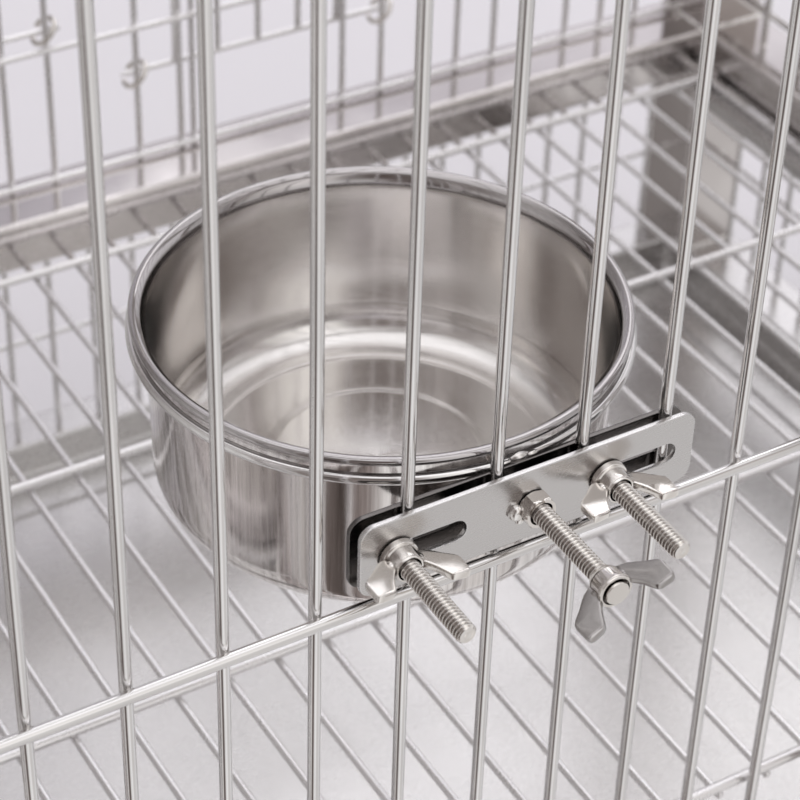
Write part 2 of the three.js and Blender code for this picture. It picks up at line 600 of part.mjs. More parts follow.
function addClamp() {
  const frontFace = -WIRE / 2 - GAP; // the rods lie between the two plates
  const rearFace = WIRE / 2 + GAP;
  const rearDrop = 1.8; // the rear plate hangs a little lower than the front one
  const rearPlate = add('rear_clamp_plate', clampPlate(rearDrop), POLISHED);
  rearPlate.position.set(CLAMP_X, rearFace + PLATE.sheet, CLAMP_Z - rearDrop);
  const frontPlate = add('front_clamp_plate', clampPlate(0), SATIN);
  frontPlate.position.set(CLAMP_X, frontFace, CLAMP_Z);

  const outerFace = frontFace - PLATE.sheet - GAP;
  const innerFace = rearFace + PLATE.sheet + GAP;
  ['left', 'right'].forEach((side, i) => {
    const x = CLAMP_X + BOLT.offsets[i];
    const shank = bar('y', BOLT.radius, BOLT.tipY, innerFace + 1, [x, 0, CLAMP_Z]);
    const head = bar('y', 6, innerFace, innerFace + 2.6, [x, 0, CLAMP_Z]);
    add(`clamp_bolt_${side}`, join([shank, head]), FASTENER);
    const nut = add(`wing_nut_${side}`, wingNut(BOLT.radius + GAP, NUT_HUB), FASTENER);
    nut.position.set(x, outerFace, CLAMP_Z);
    nut.rotation.y = BOLT.nutTurns[i];
  });

  const nutThickness = 5;
  const hexagon = new THREE.CylinderGeometry(5.77, 5.77, nutThickness, 6);
  const tapped = bar('y', BOLT.radius + GAP, -20, 20, [0, 0, 0]);
  add('clamp_screw_nut', cut(hexagon, [tapped]), FASTENER)
    .position.set(CLAMP_X, outerFace - nutThickness / 2, CLAMP_Z);
  const screw = bar('y', BOLT.radius, SCREW.outerY, SCREW.innerY, [CLAMP_X, 0, CLAMP_Z]);
  add('clamp_screw', screw, FASTENER);
  const head = add('clamp_screw_wing', wingNut(BOLT.radius + GAP, SCREW.hub), FASTENER);
  head.position.set(CLAMP_X, SCREW.wingSeatY, CLAMP_Z);
  head.rotation.y = SCREW.wingTurn;
}

// A wing nut whose seat is at y = 0 and whose two wings lean outward, towards -y.
function wingNut(boreRadius, hubRadius) {
  const hubLength = 7.5;
  const hub = new THREE.CylinderGeometry(hubRadius.seat, hubRadius.end, hubLength, 16);
  hub.translate(0, -hubLength / 2, 0);
  const wings = [-1, 1].map((sign) => {
    const outline = new THREE.Shape();
    outline.moveTo(sign * 4, -1.5);
    outline.lineTo(sign * 7.5, -3);
    outline.lineTo(sign * 12.5, -8);
    outline.quadraticCurveTo(sign * 15, -12, sign * 12.5, -15.5);
    outline.lineTo(sign * 9, -14.5);
    outline.lineTo(sign * 5.5, -7.5);
    outline.lineTo(sign * 4, -6.5);
    outline.closePath();
    return extrude(outline, 2.4).translate(0, 0, -1.2);
  });
  const bore = new THREE.CylinderGeometry(boreRadius, boreRadius, 60, 16);
  return cut(join([hub, ...wings]), [bore]);
}

// ---------- assembly ----------
addFrame();
addWalls();
addRearWall();
addFrontDoor();
addTray();
addBowl();
addClamp();

// The origin is on the ground, under the middle of the whole object's box.
const group = new THREE.Group();
group.add(cage);
const box = new THREE.Box3().setFromObject(cage, true);
cage.position.set(-(box.min.x + box.max.x) / 2, -(box.min.y + box.max.y) / 2, -box.min.z);

export default group;
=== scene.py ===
"""Looks of the stainless kennel cage with its bolt-on bowl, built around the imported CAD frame.

Shapes are drawn in millimetres in the row frame and scaled to metres when a mesh is made.
"""

import json
from math import copysign, cos, pi, radians, sin, sqrt

import bmesh
import bpy
import numpy as np
from mathutils import Matrix, Vector
from mathutils.geometry import tessellate_polygon

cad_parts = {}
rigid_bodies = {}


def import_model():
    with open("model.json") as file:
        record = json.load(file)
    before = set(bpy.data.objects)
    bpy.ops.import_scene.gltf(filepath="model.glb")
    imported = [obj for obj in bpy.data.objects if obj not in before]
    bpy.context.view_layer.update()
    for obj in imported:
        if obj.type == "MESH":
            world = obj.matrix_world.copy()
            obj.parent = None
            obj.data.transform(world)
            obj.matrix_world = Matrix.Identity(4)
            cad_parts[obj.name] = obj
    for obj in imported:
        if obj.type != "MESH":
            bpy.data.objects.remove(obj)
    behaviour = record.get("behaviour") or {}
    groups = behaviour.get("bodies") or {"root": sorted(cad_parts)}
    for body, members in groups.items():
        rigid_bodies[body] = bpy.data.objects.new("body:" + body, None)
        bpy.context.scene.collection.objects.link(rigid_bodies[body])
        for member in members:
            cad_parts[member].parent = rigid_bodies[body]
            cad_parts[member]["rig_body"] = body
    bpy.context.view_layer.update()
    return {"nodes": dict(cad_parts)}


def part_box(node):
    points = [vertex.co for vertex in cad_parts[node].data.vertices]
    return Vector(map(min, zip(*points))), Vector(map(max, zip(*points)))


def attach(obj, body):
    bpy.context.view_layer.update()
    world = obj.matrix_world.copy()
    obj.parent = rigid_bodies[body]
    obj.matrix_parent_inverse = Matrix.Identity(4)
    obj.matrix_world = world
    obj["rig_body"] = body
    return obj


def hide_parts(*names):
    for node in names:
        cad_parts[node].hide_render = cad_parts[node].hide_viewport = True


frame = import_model()
rng = np.random.default_rng(7)

# ---------- driving dimensions, in millimetres unless said ----------
MM = 0.001
GAP = 0.3            # clearance that the CAD keeps between neighbouring pieces
WIRE_R = 2.0         # the cage's main rods
THIN_R = 1.5         # floor, skirt and rear wires
ROD_PITCH = 30.0
FIRST_ROD = 33.7     # from the end of the fixed front panel to its first rod
FRONT_RODS = 11
SIDE_RODS = 13
ROOF_RODS = 20
FRONT_LEVELS = (128, 335, 573, 611)
SIDE_LEVELS = (205, 408, 611)
ROOF_LEVELS = (145, 304)            # measured from the front rods
FRONT_INNER_Y = 19.3
FLOOR_PITCH = 21.125
FLOOR_WIRES = 30
FLOOR_CROSSERS = 4
FLOOR_CROSSER_PITCH = 136.625
SKIRT_PITCH = 22.0
SIDE_SKIRT_WIRES = 18
REAR_SKIRT_WIRES = 28
REAR_PITCH = 22.0
REAR_EACH_SIDE = 13
REAR_FULL_LEVELS = (192.6, 378, 611)
REAR_BROKEN_LEVELS = (260.6, 345)   # these wires stop at the flap's opening
REAR_OPENING = (28.6, 110)
SHORT_ROD = (-36, 267.5)            # right-hand end and height of the rod welded outside the uprights
FLAP_ROD_R = 2.0
FLAP_SIDES = (22.8, 109.4)
FLAP_LEVELS = (254, 300)
PIN_Z = 233.8
CLIPS = {1: (0, 2.2, PIN_Z), 2: (132, 2.2, PIN_Z), 3: (-44, 1.9, 268.2)}  # x, behind the uprights, z
DOOR_ROD_R = 4.0
DOOR_LEVELS = (231, 335, 441, 546)
DOOR_UPRIGHTS = 7
TUBE_CORNER = 3.0    # outside radius of the square tubes
BEAD_R = 1.1
THREAD_R = 3.3
THREAD_PITCH = 1.4
THREAD_DEPTH = 0.6
CAMERA_AZIMUTH = radians(-31.57)  # clockwise from looking along +Y
CAMERA_ELEVATION = radians(37.83)
CAMERA_ROLL = radians(1.86)
CAMERA_DISTANCE = 0.7136            # metres
CAMERA_TARGET = (-0.0263, 0.03235, 0.0257)  # metres from the clamp's middle
CAMERA_LENS = 109.74


def span(node):
    """Lowest and highest corner of a CAD node, in millimetres."""
    low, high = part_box(node)
    return np.array(low) / MM, np.array(high) / MM


def middle(node):
    low, high = span(node)
    return (low + high) / 2


# ---------- gathering points and faces ----------
class Shape:
    """Closed shells of one piece, gathered before the mesh is made. kind is the material's number."""

    def __init__(self):
        self.points, self.faces, self.kinds = [], [], []
        self.count = 0

    def add(self, points, faces, kind=0):
        points = np.asarray(points, float).reshape(-1, 3)
        self.points.append(points)
        self.faces += [[int(i) + self.count for i in face] for face in faces]
        self.kinds += [kind] * len(faces)
        self.count += len(points)

    def strip(self, rings, kind=0, closed=False):
        """Skins a run of rings and closes its two ends, or joins them when closed is true."""
        rings = np.asarray(rings, float)
        rows, sides = rings.shape[:2]
        index = np.arange(rows * sides).reshape(rows, sides)
        top = np.vstack([index[1:], index[:1]]) if closed else index[1:]
        low = index if closed else index[:-1]
        quads = np.stack([low, np.roll(low, -1, 1), np.roll(top, -1, 1), top], -1).reshape(-1, 4)
        faces = quads.tolist()
        if not closed:
            faces += [index[0][::-1].tolist(), index[-1].tolist()]
        self.add(rings, faces, kind)


def unit(vector):
    vector = np.asarray(vector, float)
    return vector / np.linalg.norm(vector)


def side_axes(axis):
    """Two unit vectors square to axis and to each other."""
    helper = (0, 0, 1) if abs(axis[2]) < 0.9 else (1, 0, 0)
    first = unit(np.cross(helper, axis))
    return first, np.cross(axis, first)


def circle(sides):
    return np.linspace(0, 2 * pi, sides, endpoint=False)


def ring_about(axis, sides):
    """Unit vectors square to axis, evenly round it."""
    first, second = side_axes(axis)
    angle = circle(sides)
    return np.outer(np.cos(angle), first) + np.outer(np.sin(angle), second)


def turned(shape, base, axis, profile, sides=32, kind=0, closed=False, ripple=0.0):
    """A lathed shell. profile holds (distance along the axis, radius) pairs from its base point."""
    axis = unit(axis)
    along, radius = np.asarray(profile, float).T[:, :, None, None]
    radius = np.maximum(radius, 0.01) * (1 + ripple * rng.standard_normal((1, sides, 1)))
    rings = np.asarray(base, float) + along * axis + radius * ring_about(axis, sides)
    shape.strip(rings, kind, closed)


def bar(shape, start, end, radius, sides=24, edge=0.4):
    """A round bar with softly rounded end edges."""
    start, end = np.asarray(start, float), np.asarray(end, float)
    length = np.linalg.norm(end - start)
    nose = [(0, radius - edge), (0.12 * edge, radius - 0.5 * edge), (0.5 * edge, radius - 0.12 * edge),
            (edge, radius)]
    tail = [(length - d, r) for d, r in reversed(nose)]
    turned(shape, start, end - start, nose + tail, sides)


def wire(shape, start, end, radius, sides=16, bow=0.0):
    """A drawn wire, very slightly bowed, with its end edges rounded."""
    start, end = np.asarray(start, float), np.asarray(end, float)
    length = np.linalg.norm(end - start)
    axis = unit(end - start)
    first, second = side_axes(axis)
    body = np.linspace(6, length - 6, 9)
    steps = np.concatenate([[0, 0.25, 0.8], body, [length - 0.8, length - 0.25, length]])
    shrink = np.array([0.75, 0.93, 1.0] + [1.0] * 9 + [1.0, 0.93, 0.75])
    phase = rng.uniform(0, 2 * pi, 2)
    wave = np.sin(pi * steps / length)
    sway = bow * wave * np.sin(3 * pi * steps / length + phase[0])
    lean = bow * wave * np.sin(2 * pi * steps / length + phase[1])
    centre = start + np.outer(steps, axis) + np.outer(sway, first) + np.outer(lean, second)
    shape.strip(centre[:, None, :] + radius * shrink[:, None, None] * ring_about(axis, sides))


def swept(shape, path, normal, radius, sides=16, closed=False, kind=0, flatten=1.0):
    """A round section swept along a path that lies in one plane. radius may change along the path."""
    path = np.asarray(path, float)
    ahead = np.roll(path, -1, 0) - np.roll(path, 1, 0)
    if not closed:
        ahead[0], ahead[-1] = path[1] - path[0], path[-1] - path[-2]
    tangent = ahead / np.linalg.norm(ahead, axis=1)[:, None]
    side = np.cross(tangent, normal)
    angle = circle(sides)
    radius = np.broadcast_to(np.asarray(radius, float), len(path))[:, None, None]
    across = np.cos(angle)[None, :, None] * side[:, None, :]
    up = flatten * np.sin(angle)[None, :, None] * np.asarray(normal, float)
    shape.strip(path[:, None, :] + radius * (across + up), kind, closed)


def round_ends(path, radius):
    """Radii that dome the two ends of an open sweep."""
    distance = np.concatenate([[0], np.cumsum(np.linalg.norm(np.diff(path, axis=0), axis=1))])
    inset = np.clip(np.minimum(distance, distance[-1] - distance) / radius, 0, 1)
    return radius * np.sqrt(np.maximum(1 - (1 - inset) ** 2, 0.02))


def arc_points(centre, radius, start, end, count):
    angles = np.linspace(start, end, count)
    return [(centre[0] + radius * cos(a), centre[1] + radius * sin(a)) for a in angles]


def rounded_loop(half_x, half_y, radius, steps=6):
    """A rounded rectangle, counter-clockwise, as an array of (x, y)."""
    points = []
    for turn, (sx, sy) in enumerate([(1, 1), (-1, 1), (-1, -1), (1, -1)]):
        for angle in np.linspace(0, pi / 2, steps) + turn * pi / 2:
            points.append((sx * (half_x - radius) + radius * cos(angle),
                           sy * (half_y - radius) + radius * sin(angle)))
    return np.array(points)


def inset_steps(height, radius, steps=4):
    """(height, inset) pairs that round the lower and upper edge of a block."""
    angles = np.linspace(0, pi / 2, steps)
    lower = [(radius - radius * cos(a), radius - radius * sin(a)) for a in angles]
    upper = [(height - z, inset) for z, inset in reversed(lower)]
    return lower + upper


def block(shape, low, high, radius=0.6, corner=None, up=2):
    """A box with every edge rounded. up is the axis that its flat ends face along."""
    low, high = np.asarray(low, float), np.asarray(high, float)
    a, b = [axis for axis in range(3) if axis != up]
    centre, half = (low + high) / 2, (high - low) / 2
    corner = radius if corner is None else corner
    rings = []
    for rise, inset in inset_steps(high[up] - low[up], radius):
        loop = rounded_loop(half[a] - inset, half[b] - inset, max(corner - inset, 0.05))
        ring = np.zeros((len(loop), 3))
        ring[:, a] = loop[:, 0] + centre[a]
        ring[:, b] = loop[:, 1] + centre[b]
        ring[:, up] = low[up] + rise
        rings.append(ring)
    shape.strip(rings)


def outward(loop):
    """Unit normals of a counter-clockwise loop of (x, y), pointing away from its inside."""
    ahead = np.roll(loop, -1, 0) - np.roll(loop, 1, 0)
    ahead /= np.linalg.norm(ahead, axis=1)[:, None]
    return np.stack([ahead[:, 1], -ahead[:, 0]], -1)


def cut_plate(shape, place, outer, holes, thickness, edge):
    """A flat plate with holes and rounded edges. place maps (x, y, height) rows to points in space."""
    loops = [np.asarray(outer)] + [np.asarray(hole) for hole in holes]
    signs = [-1] + [1] * len(holes)
    sections = inset_steps(thickness, edge, 3)
    rows = []
    for rise, inset in sections:
        flat = [loop + sign * inset * outward(loop) for loop, sign in zip(loops, signs)]
        rows.append(np.column_stack([np.vstack(flat), np.full(sum(map(len, flat)), rise)]))
    total = len(rows[0])
    faces = []
    start = 0
    for loop in loops:
        ring = np.arange(start, start + len(loop))
        for row in range(len(rows) - 1):
            low, top = ring + row * total, ring + (row + 1) * total
            faces += np.stack([low, np.roll(low, -1), np.roll(top, -1), top], -1).tolist()
        start += len(loop)
    for row, flip in ((0, True), (len(rows) - 1, False)):
        starts = np.cumsum([0] + [len(loop) for loop in loops])
        parts = [[Vector(p) for p in rows[row][a:b]] for a, b in zip(starts[:-1], starts[1:])]
        for face in tessellate_polygon(parts):
            face = [i + row * total for i in face]
            faces.append(face[::-1] if flip else face)
    shape.add(place(np.vstack(rows)), faces)


def placed(origin, x_axis, y_axis, up_axis):
    """A place function for cut_plate from an origin and three axes."""
    axes = np.array([x_axis, y_axis, up_axis], float)
    return lambda rows: np.asarray(origin, float) + rows @ axes


def blob(shape, centre, radii, kind=1, lumps=0.06):
    """A lumpy bead of weld metal."""
    steps, sides = 9, 14
    latitude = np.linspace(-pi / 2, pi / 2, steps)
    angle = circle(sides)
    phase = rng.uniform(0, 6.28, 3)
    rings = []
    for lat in latitude:
        width, height = np.cos(lat), np.full(sides, np.sin(lat))
        ring = np.stack([width * np.cos(angle), width * np.sin(angle), height], -1)
        swell = sum(np.sin((3 + k) * ring[:, k] + phase[k]) for k in range(3)) / 2
        rings.append(np.asarray(centre) + ring * (1 + lumps * swell)[:, None] * np.asarray(radii))
    rings[0][:] = rings[0].mean(0) + (rings[1] - rings[1].mean(0)) * 0.02
    rings[-1][:] = rings[-1].mean(0) + (rings[-2] - rings[-2].mean(0)) * 0.02
    shape.strip(rings, kind)


# ---------- welds ----------
def cross_weld(shape, point, along_low, along_high, radius_low, radius_high):
    """The fused neck where two crossing wires touch at point. The high wire lies along the normal."""
    normal = np.cross(along_low, along_high)
    angle = circle(14)
    neck = 1.45 * min(radius_low, radius_high) / 2
    reach = neck * (1 + 0.07 * rng.standard_normal(len(angle)))
    x, y = reach * np.cos(angle), reach * np.sin(angle)
    low = radius_low - np.sqrt(radius_low ** 2 - x ** 2) + 0.08
    high = radius_high - np.sqrt(radius_high ** 2 - y ** 2) + 0.08
    gap = low + high
    rings = []
    for t in (-0.3, 0, 0.2, 0.5, 0.8, 1, 1.3):
        inside = t < 0 or t > 1
        pinch = 0.3 if inside else 1 - 0.5 * np.minimum(gap, 1) * sin(pi * t)
        height = -low + np.clip(t, 0, 1) * gap
        if inside:
            height = np.full(len(angle), -0.6 * radius_low if t < 0 else 0.6 * radius_high)
        ring = np.outer(x * pinch, along_high) + np.outer(y * pinch, along_low) + np.outer(height, normal)
        rings.append(point + ring)
    shape.strip(rings, 1)


def face_weld(shape, point, away, radius):
    """A small fillet where a wire meets a flat face. away points along the wire, off the face."""
    size = 0.9
    profile = [(-0.3, radius + 0.8 * size), (0.02, radius + size), (0.3 * size, radius + 0.4 * size),
               (size, radius + 0.04), (size + 0.1, radius - 0.4)]
    turned(shape, point, away, profile, 16, 1, ripple=0.02)


def bead(shape, path, normal, closed=True, radius=BEAD_R):
    """A rippled fillet of weld along a joint."""
    path = np.asarray(path, float)
    ends = np.vstack([path, path[:1]]) if closed else path
    lengths = np.linalg.norm(np.diff(ends, axis=0), axis=1)
    mileage = np.concatenate([[0], np.cumsum(lengths)])
    count = max(int(mileage[-1] / 0.8), 8)
    steps = np.linspace(0, mileage[-1], count, endpoint=not closed)
    line = np.stack([np.interp(steps, mileage, ends[:, k]) for k in range(3)], -1)
    ripple = 1 + 0.14 * np.sin(steps * 2 * pi / 2.4) + 0.05 * rng.standard_normal(count)
    swept(shape, line, normal, radius * ripple, 8, closed, kind=1)


# ---------- materials ----------
def put(node, name, value):
    """Sets an input of a node, or links it when value is an output socket."""
    if isinstance(value, bpy.types.NodeSocket):
        node.id_data.links.new(value, node.inputs[name])
    else:
        node.inputs[name].default_value = value


def node(tree, kind, inputs=None, **settings):
    made = tree.nodes.new("ShaderNode" + kind)
    for key, value in settings.items():
        setattr(made, key, value)
    for key, value in (inputs or {}).items():
        put(made, key, value)
    return made


def math_node(tree, operation, a, b=0.0):
    return node(tree, "Math", {0: a, 1: b}, operation=operation).outputs[0]


def vector_math(tree, operation, a, b=(0, 0, 0), output=0):
    return node(tree, "VectorMath", {0: a, 1: b}, operation=operation).outputs[output]


def remap(tree, value, low, high, to_low, to_high):
    ranged = node(tree, "MapRange", {0: value, 1: low, 2: high, 3: to_low, 4: to_high})
    return ranged.outputs[0]


def blend(tree, share, first, second):
    """A number that goes from first to second as share goes from 0 to 1."""
    return node(tree, "Mix", {0: share, 2: first, 3: second}).outputs[0]


def tint(tree, share, first, second):
    """A colour that goes from first to second, each a socket or (red, green, blue)."""
    first, second = [c if isinstance(c, bpy.types.NodeSocket) else (*c, 1) for c in (first, second)]
    return node(tree, "Mix", {0: share, 6: first, 7: second}, data_type="RGBA").outputs[2]


def noise(tree, vector, scale, detail=3.0, roughness=0.55):
    settings = {"Vector": vector, "Scale": scale, "Detail": detail, "Roughness": roughness}
    return node(tree, "TexNoise", settings).outputs["Fac"]


def bump(tree, height, strength, distance=0.00003):
    settings = {"Strength": strength, "Distance": distance, "Height": height}
    return node(tree, "Bump", settings).outputs[0]


def xyz(tree, x, y, z=0.0):
    return node(tree, "CombineXYZ", {0: x, 1: y, 2: z}).outputs[0]


def object_coordinates(tree, centre=(0, 0, 0), stretch=(1, 1, 1)):
    coordinates = node(tree, "TexCoord").outputs["Object"]
    return vector_math(tree, "MULTIPLY", vector_math(tree, "SUBTRACT", coordinates, centre), stretch)


def new_material(name):
    made = bpy.data.materials.new(name)
    made.use_nodes = True
    return made, made.node_tree, made.node_tree.nodes["Principled BSDF"]


def steel(name, light, dark, rough, grain=0.35, grain_scale=900.0, stretch=(1, 1, 1), smudge=0.06,
          crevice=None):
    """Stainless steel: a slow change of tone, smudges in the roughness and a fine grain in the bump.

    crevice is the width in metres of the grooves and corners that get painted shade: an ambient occlusion
    node darkens their colour."""
    made, tree, shader = new_material(name)
    place = object_coordinates(tree)
    tone = noise(tree, place, 14.0, 2.0)
    colour = tint(tree, remap(tree, tone, 0.35, 0.65, 0, 1), dark, light)
    # Painted shade: the colour goes towards near black where ambient occlusion finds nearby surfaces, in
    # thread valleys, hub corners and wing roots.
    if crevice:
        occlusion = node(tree, "AmbientOcclusion", {"Distance": crevice}, samples=6)
        open_share = remap(tree, occlusion.outputs["AO"], 0.45, 0.85, 0, 1)
        colour = tint(tree, open_share, (0.16, 0.14, 0.13), colour)
    smears = noise(tree, place, 38.0, 3.0, 0.5)
    fine = noise(tree, object_coordinates(tree, stretch=stretch), grain_scale, 4.0, 0.6)
    roughness = math_node(tree, "ADD", remap(tree, smears, 0.3, 0.7, rough - smudge, rough + smudge),
                          remap(tree, fine, 0.2, 0.8, -0.02, 0.02))
    put(shader, "Base Color", colour)
    put(shader, "Metallic", 1.0)
    put(shader, "Roughness", roughness)
    put(shader, "Normal", bump(tree, fine, grain))
    return made


def bowl_steel():
    """Steel brushed on a lathe inside, so highlights run up the wall, and polished outside and on the rim.
    Its colour holds painted reflection streaks on the outer wall and painted shade on the rim.
    """
    made, tree, shader = new_material("turned_bowl_steel")
    centre, top = middle("bowl"), span("bowl")[1][2]
    rim_height = (top - centre[2] - 5) * MM
    place = object_coordinates(tree, tuple(centre * MM))
    x, y, z = node(tree, "SeparateXYZ", {0: place}).outputs
    radius = math_node(tree, "SQRT", math_node(tree, "ADD", math_node(tree, "MULTIPLY", x, x),
                                               math_node(tree, "MULTIPLY", y, y)))
    angle = math_node(tree, "ARCTAN2", y, x)

    # The inside is where the surface faces up or towards the axis.
    normal = node(tree, "TexCoord").outputs["Normal"]
    radial = vector_math(tree, "NORMALIZE", xyz(tree, x, y))
    facing_out = vector_math(tree, "DOT_PRODUCT", normal, radial, "Value")
    facing_up = node(tree, "SeparateXYZ", {0: normal}).outputs[2]
    facing_in = math_node(tree, "SUBTRACT", facing_up, facing_out)
    below_rim = remap(tree, z, rim_height - 0.0003, rim_height + 0.0003, 1, 0)
    inside = math_node(tree, "MULTIPLY", remap(tree, facing_in, -0.1, 0.1, 0, 1), below_rim)

    fine = noise(tree, xyz(tree, math_node(tree, "MULTIPLY", angle, 0.004), radius, z), 2400.0, 4.0, 0.7)
    upright = xyz(tree, math_node(tree, "MULTIPLY", angle, 0.075), 0.0, math_node(tree, "MULTIPLY", z, 0.03))
    streaks = noise(tree, upright, 420.0, 4.0, 0.6)
    smears = noise(tree, place, 30.0, 3.0, 0.5)
    brushed = math_node(tree, "ADD", remap(tree, fine, 0.3, 0.7, 0.11, 0.19),
                        remap(tree, smears, 0.3, 0.7, -0.02, 0.03))
    polished = math_node(tree, "ADD", remap(tree, streaks, 0.3, 0.7, 0.05, 0.15),
                         remap(tree, smears, 0.3, 0.7, -0.02, 0.02))
    rim_roughness = remap(tree, smears, 0.3, 0.7, 0.05, 0.1)
    relief = math_node(tree, "MULTIPLY", blend(tree, inside, streaks, fine), below_rim)
    # Painted reflection: light and dark upright streaks in the outer wall's colour stand in for the streaky
    # reflections of polished steel.
    reflection_streaks = tint(tree, remap(tree, streaks, 0.35, 0.65, 0, 1), (0.62, 0.59, 0.575), (0.93, 0.90, 0.885))
    wall_colour = tint(tree, inside, reflection_streaks, (0.80, 0.78, 0.765))
    # Painted shade: the rim above the wall gets a darker colour, standing in for its dark reflections.
    put(shader, "Base Color", tint(tree, below_rim, (0.50, 0.48, 0.48), wall_colour))
    put(shader, "Metallic", 1.0)
    put(shader, "Roughness", blend(tree, below_rim, rim_roughness, blend(tree, inside, polished, brushed)))
    put(shader, "Anisotropic", math_node(tree, "MULTIPLY", inside, 0.85))
    put(shader, "Anisotropic Rotation", 0.25)
    put(shader, "Tangent", node(tree, "Tangent", direction_type="RADIAL", axis="Z").outputs[0])
    put(shader, "Normal", bump(tree, relief, 0.16))
    return made


def rubber_material():
    made, tree, shader = new_material("foot_rubber")
    place = object_coordinates(tree)
    fine = noise(tree, place, 1400.0, 4.0)
    dust = noise(tree, place, 120.0, 5.0, 0.65)
    put(shader, "Base Color", tint(tree, remap(tree, dust, 0.5, 0.8, 0, 0.5), (0.018, 0.018, 0.02),
                                   (0.09, 0.088, 0.085)))
    put(shader, "Roughness", remap(tree, fine, 0.3, 0.7, 0.55, 0.8))
    put(shader, "Normal", bump(tree, fine, 0.5, 0.0002))
    return made


POLISHED = steel("polished_steel", (0.77, 0.74, 0.73), (0.62, 0.59, 0.58), 0.11, 0.12, 700.0, smudge=0.04)
WIRES = steel("wire_steel", (0.84, 0.83, 0.825), (0.76, 0.75, 0.745), 0.12, 0.2, 1300.0, (1, 1, 0.15), 0.04)
SOFT_WIRES = steel("soft_wire_steel", (0.94, 0.93, 0.935), (0.87, 0.86, 0.865), 0.27, 0.2, 1300.0,
                   (1, 1, 0.15), 0.04)
SATIN = steel("satin_steel", (0.715, 0.705, 0.70), (0.68, 0.67, 0.665), 0.27, 0.5, 1500.0,
              (0.12, 1, 1), 0.012)
# The two fastener steels get painted shade in their crevices through the crevice width.
FASTENER = steel("fastener_steel", (0.88, 0.85, 0.815), (0.72, 0.69, 0.655), 0.15, 0.35, 1100.0,
                 smudge=0.05, crevice=0.0011)
SCREW = steel("screw_steel", (0.50, 0.48, 0.47), (0.37, 0.355, 0.345), 0.14, 0.35, 1100.0,
              smudge=0.05, crevice=0.0011)
# Painted shade: a near-black steel for the rear clamp plate, whose front face sits in the shade of the narrow
# gap behind the front plate.
SHADED_PLATE = steel("painted_shade_plate_steel", (0.19, 0.18, 0.175), (0.13, 0.12, 0.115), 0.2, 0.5, 1200.0, (0.2, 1, 1), 0.04)
WELD = steel("weld_metal", (0.84, 0.82, 0.80), (0.66, 0.64, 0.62), 0.2, 0.6, 1500.0)
BOWL_STEEL = bowl_steel()
FINISHES = {"polished_steel": POLISHED, "wire_steel": WIRES, "satin_steel": SATIN,
            "fastener_steel": FASTENER, "rubber": rubber_material()}


def piece(shape, node_name, suffix, slot_name, material=None, sharp=35, flats=False, second=WELD):
    """Makes a piece of a shape, in place of one CAD node and on that node's body.

    second is the material of the faces of kind 1. flats evens the shading of the flat faces."""
    name = f"{node_name}_{suffix}"
    mesh = bpy.data.meshes.new(name)
    mesh.from_pydata((np.concatenate(shape.points) * MM).tolist(), [], shape.faces)
    mesh.polygons.foreach_set("material_index", shape.kinds)
    work = bmesh.new()
    work.from_mesh(mesh)
    bmesh.ops.recalc_face_normals(work, faces=work.faces)
    work.to_mesh(mesh)
    work.free()
    mesh.polygons.foreach_set("use_smooth", [True] * len(mesh.polygons))
    mesh.set_sharp_from_angle(angle=radians(sharp))
    mesh.materials.append(material or FINISHES[slot_name])
    mesh.materials.append(second)
    made = bpy.data.objects.new(name, mesh)
    bpy.context.scene.collection.objects.link(made)
    if flats:
        made.modifiers.new("flats", "WEIGHTED_NORMAL").keep_sharp = True
    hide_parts(node_name)
    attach(made, frame["nodes"][node_name]["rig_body"])


# ---------- wire panels ----------
X, Y, Z = np.eye(3)


class Panel:
    """Crossing wires in a plane. Uprights lie in the plane and crossers on its face, along the normal."""

    def __init__(self, origin, along, up, normal, upright_r, crosser_r, sides=16, bow=0.12):
        self.shape = Shape()
        self.origin, self.along, self.up, self.normal = np.asarray(origin, float), along, up, normal
        self.upright_r, self.crosser_r = upright_r, crosser_r
        self.sides, self.bow = sides, bow
        self.uprights, self.crossers = [], []

    def point(self, at, height, layer=0.0):
        return self.origin + at * self.along + height * self.up + layer * self.normal

    def run(self, start, end, heading, radius, bow, welded):
        """A wire from start to end. welded says whether each end meets a flat face."""
        wire(self.shape, start, end, radius, self.sides, bow)
        for point, away, on in ((start, heading, welded[0]), (end, -heading, welded[1])):
            if on:
                face_weld(self.shape, point, away, radius)

    def upright(self, at, low, high, welded=(True, True)):
        start, end = self.point(at, low - GAP * welded[0]), self.point(at, high + GAP * welded[1])
        self.run(start, end, self.up, self.upright_r, self.bow, welded)
        self.uprights.append((at, low, high))

    def crosser(self, height, left, right, welded=(True, True), face=1):
        """face is 1 on the side that the normal points to and -1 on the other side of the uprights."""
        layer = face * (self.upright_r + self.crosser_r)
        start = self.point(left - GAP * welded[0], height, layer)
        end = self.point(right + GAP * welded[1], height, layer)
        self.run(start, end, self.along, self.crosser_r, self.bow / 2, welded)
        self.crossers.append((height, left, right, face))

    def fill(self, uprights, low, high, levels, left, right, welded=(True, True)):
        """Uprights from low to high, crossers from left to right at the levels, and their welds."""
        for at in uprights:
            self.upright(at, low, high, welded)
        for level in levels:
            self.crosser(level, left, right, welded)
        self.weld_crossings()

    def weld_crossings(self):
        for at, low, high in self.uprights:
            for height, left, right, face in self.crossers:
                if left <= at <= right and low <= height <= high:
                    flip = np.dot(np.cross(self.up, self.along), face * self.normal)
                    cross_weld(self.shape, self.point(at, height, face * self.upright_r), self.up,
                               copysign(1, flip) * self.along, self.upright_r, self.crosser_r)


def centred(count, pitch):
    return (np.arange(count) - (count - 1) / 2) * pitch


def front_panel():
    low, high = span("front_panel")
    panel = Panel((low[0], high[1] - WIRE_R, 0), X, Z, -Y, WIRE_R, WIRE_R, sides=28, bow=0.2)
    rods = FIRST_ROD + ROD_PITCH * np.arange(FRONT_RODS)
    panel.fill(rods, low[2], high[2], FRONT_LEVELS, 0, high[0] - low[0])
    piece(panel.shape, "front_panel", "wires", "wire_steel")


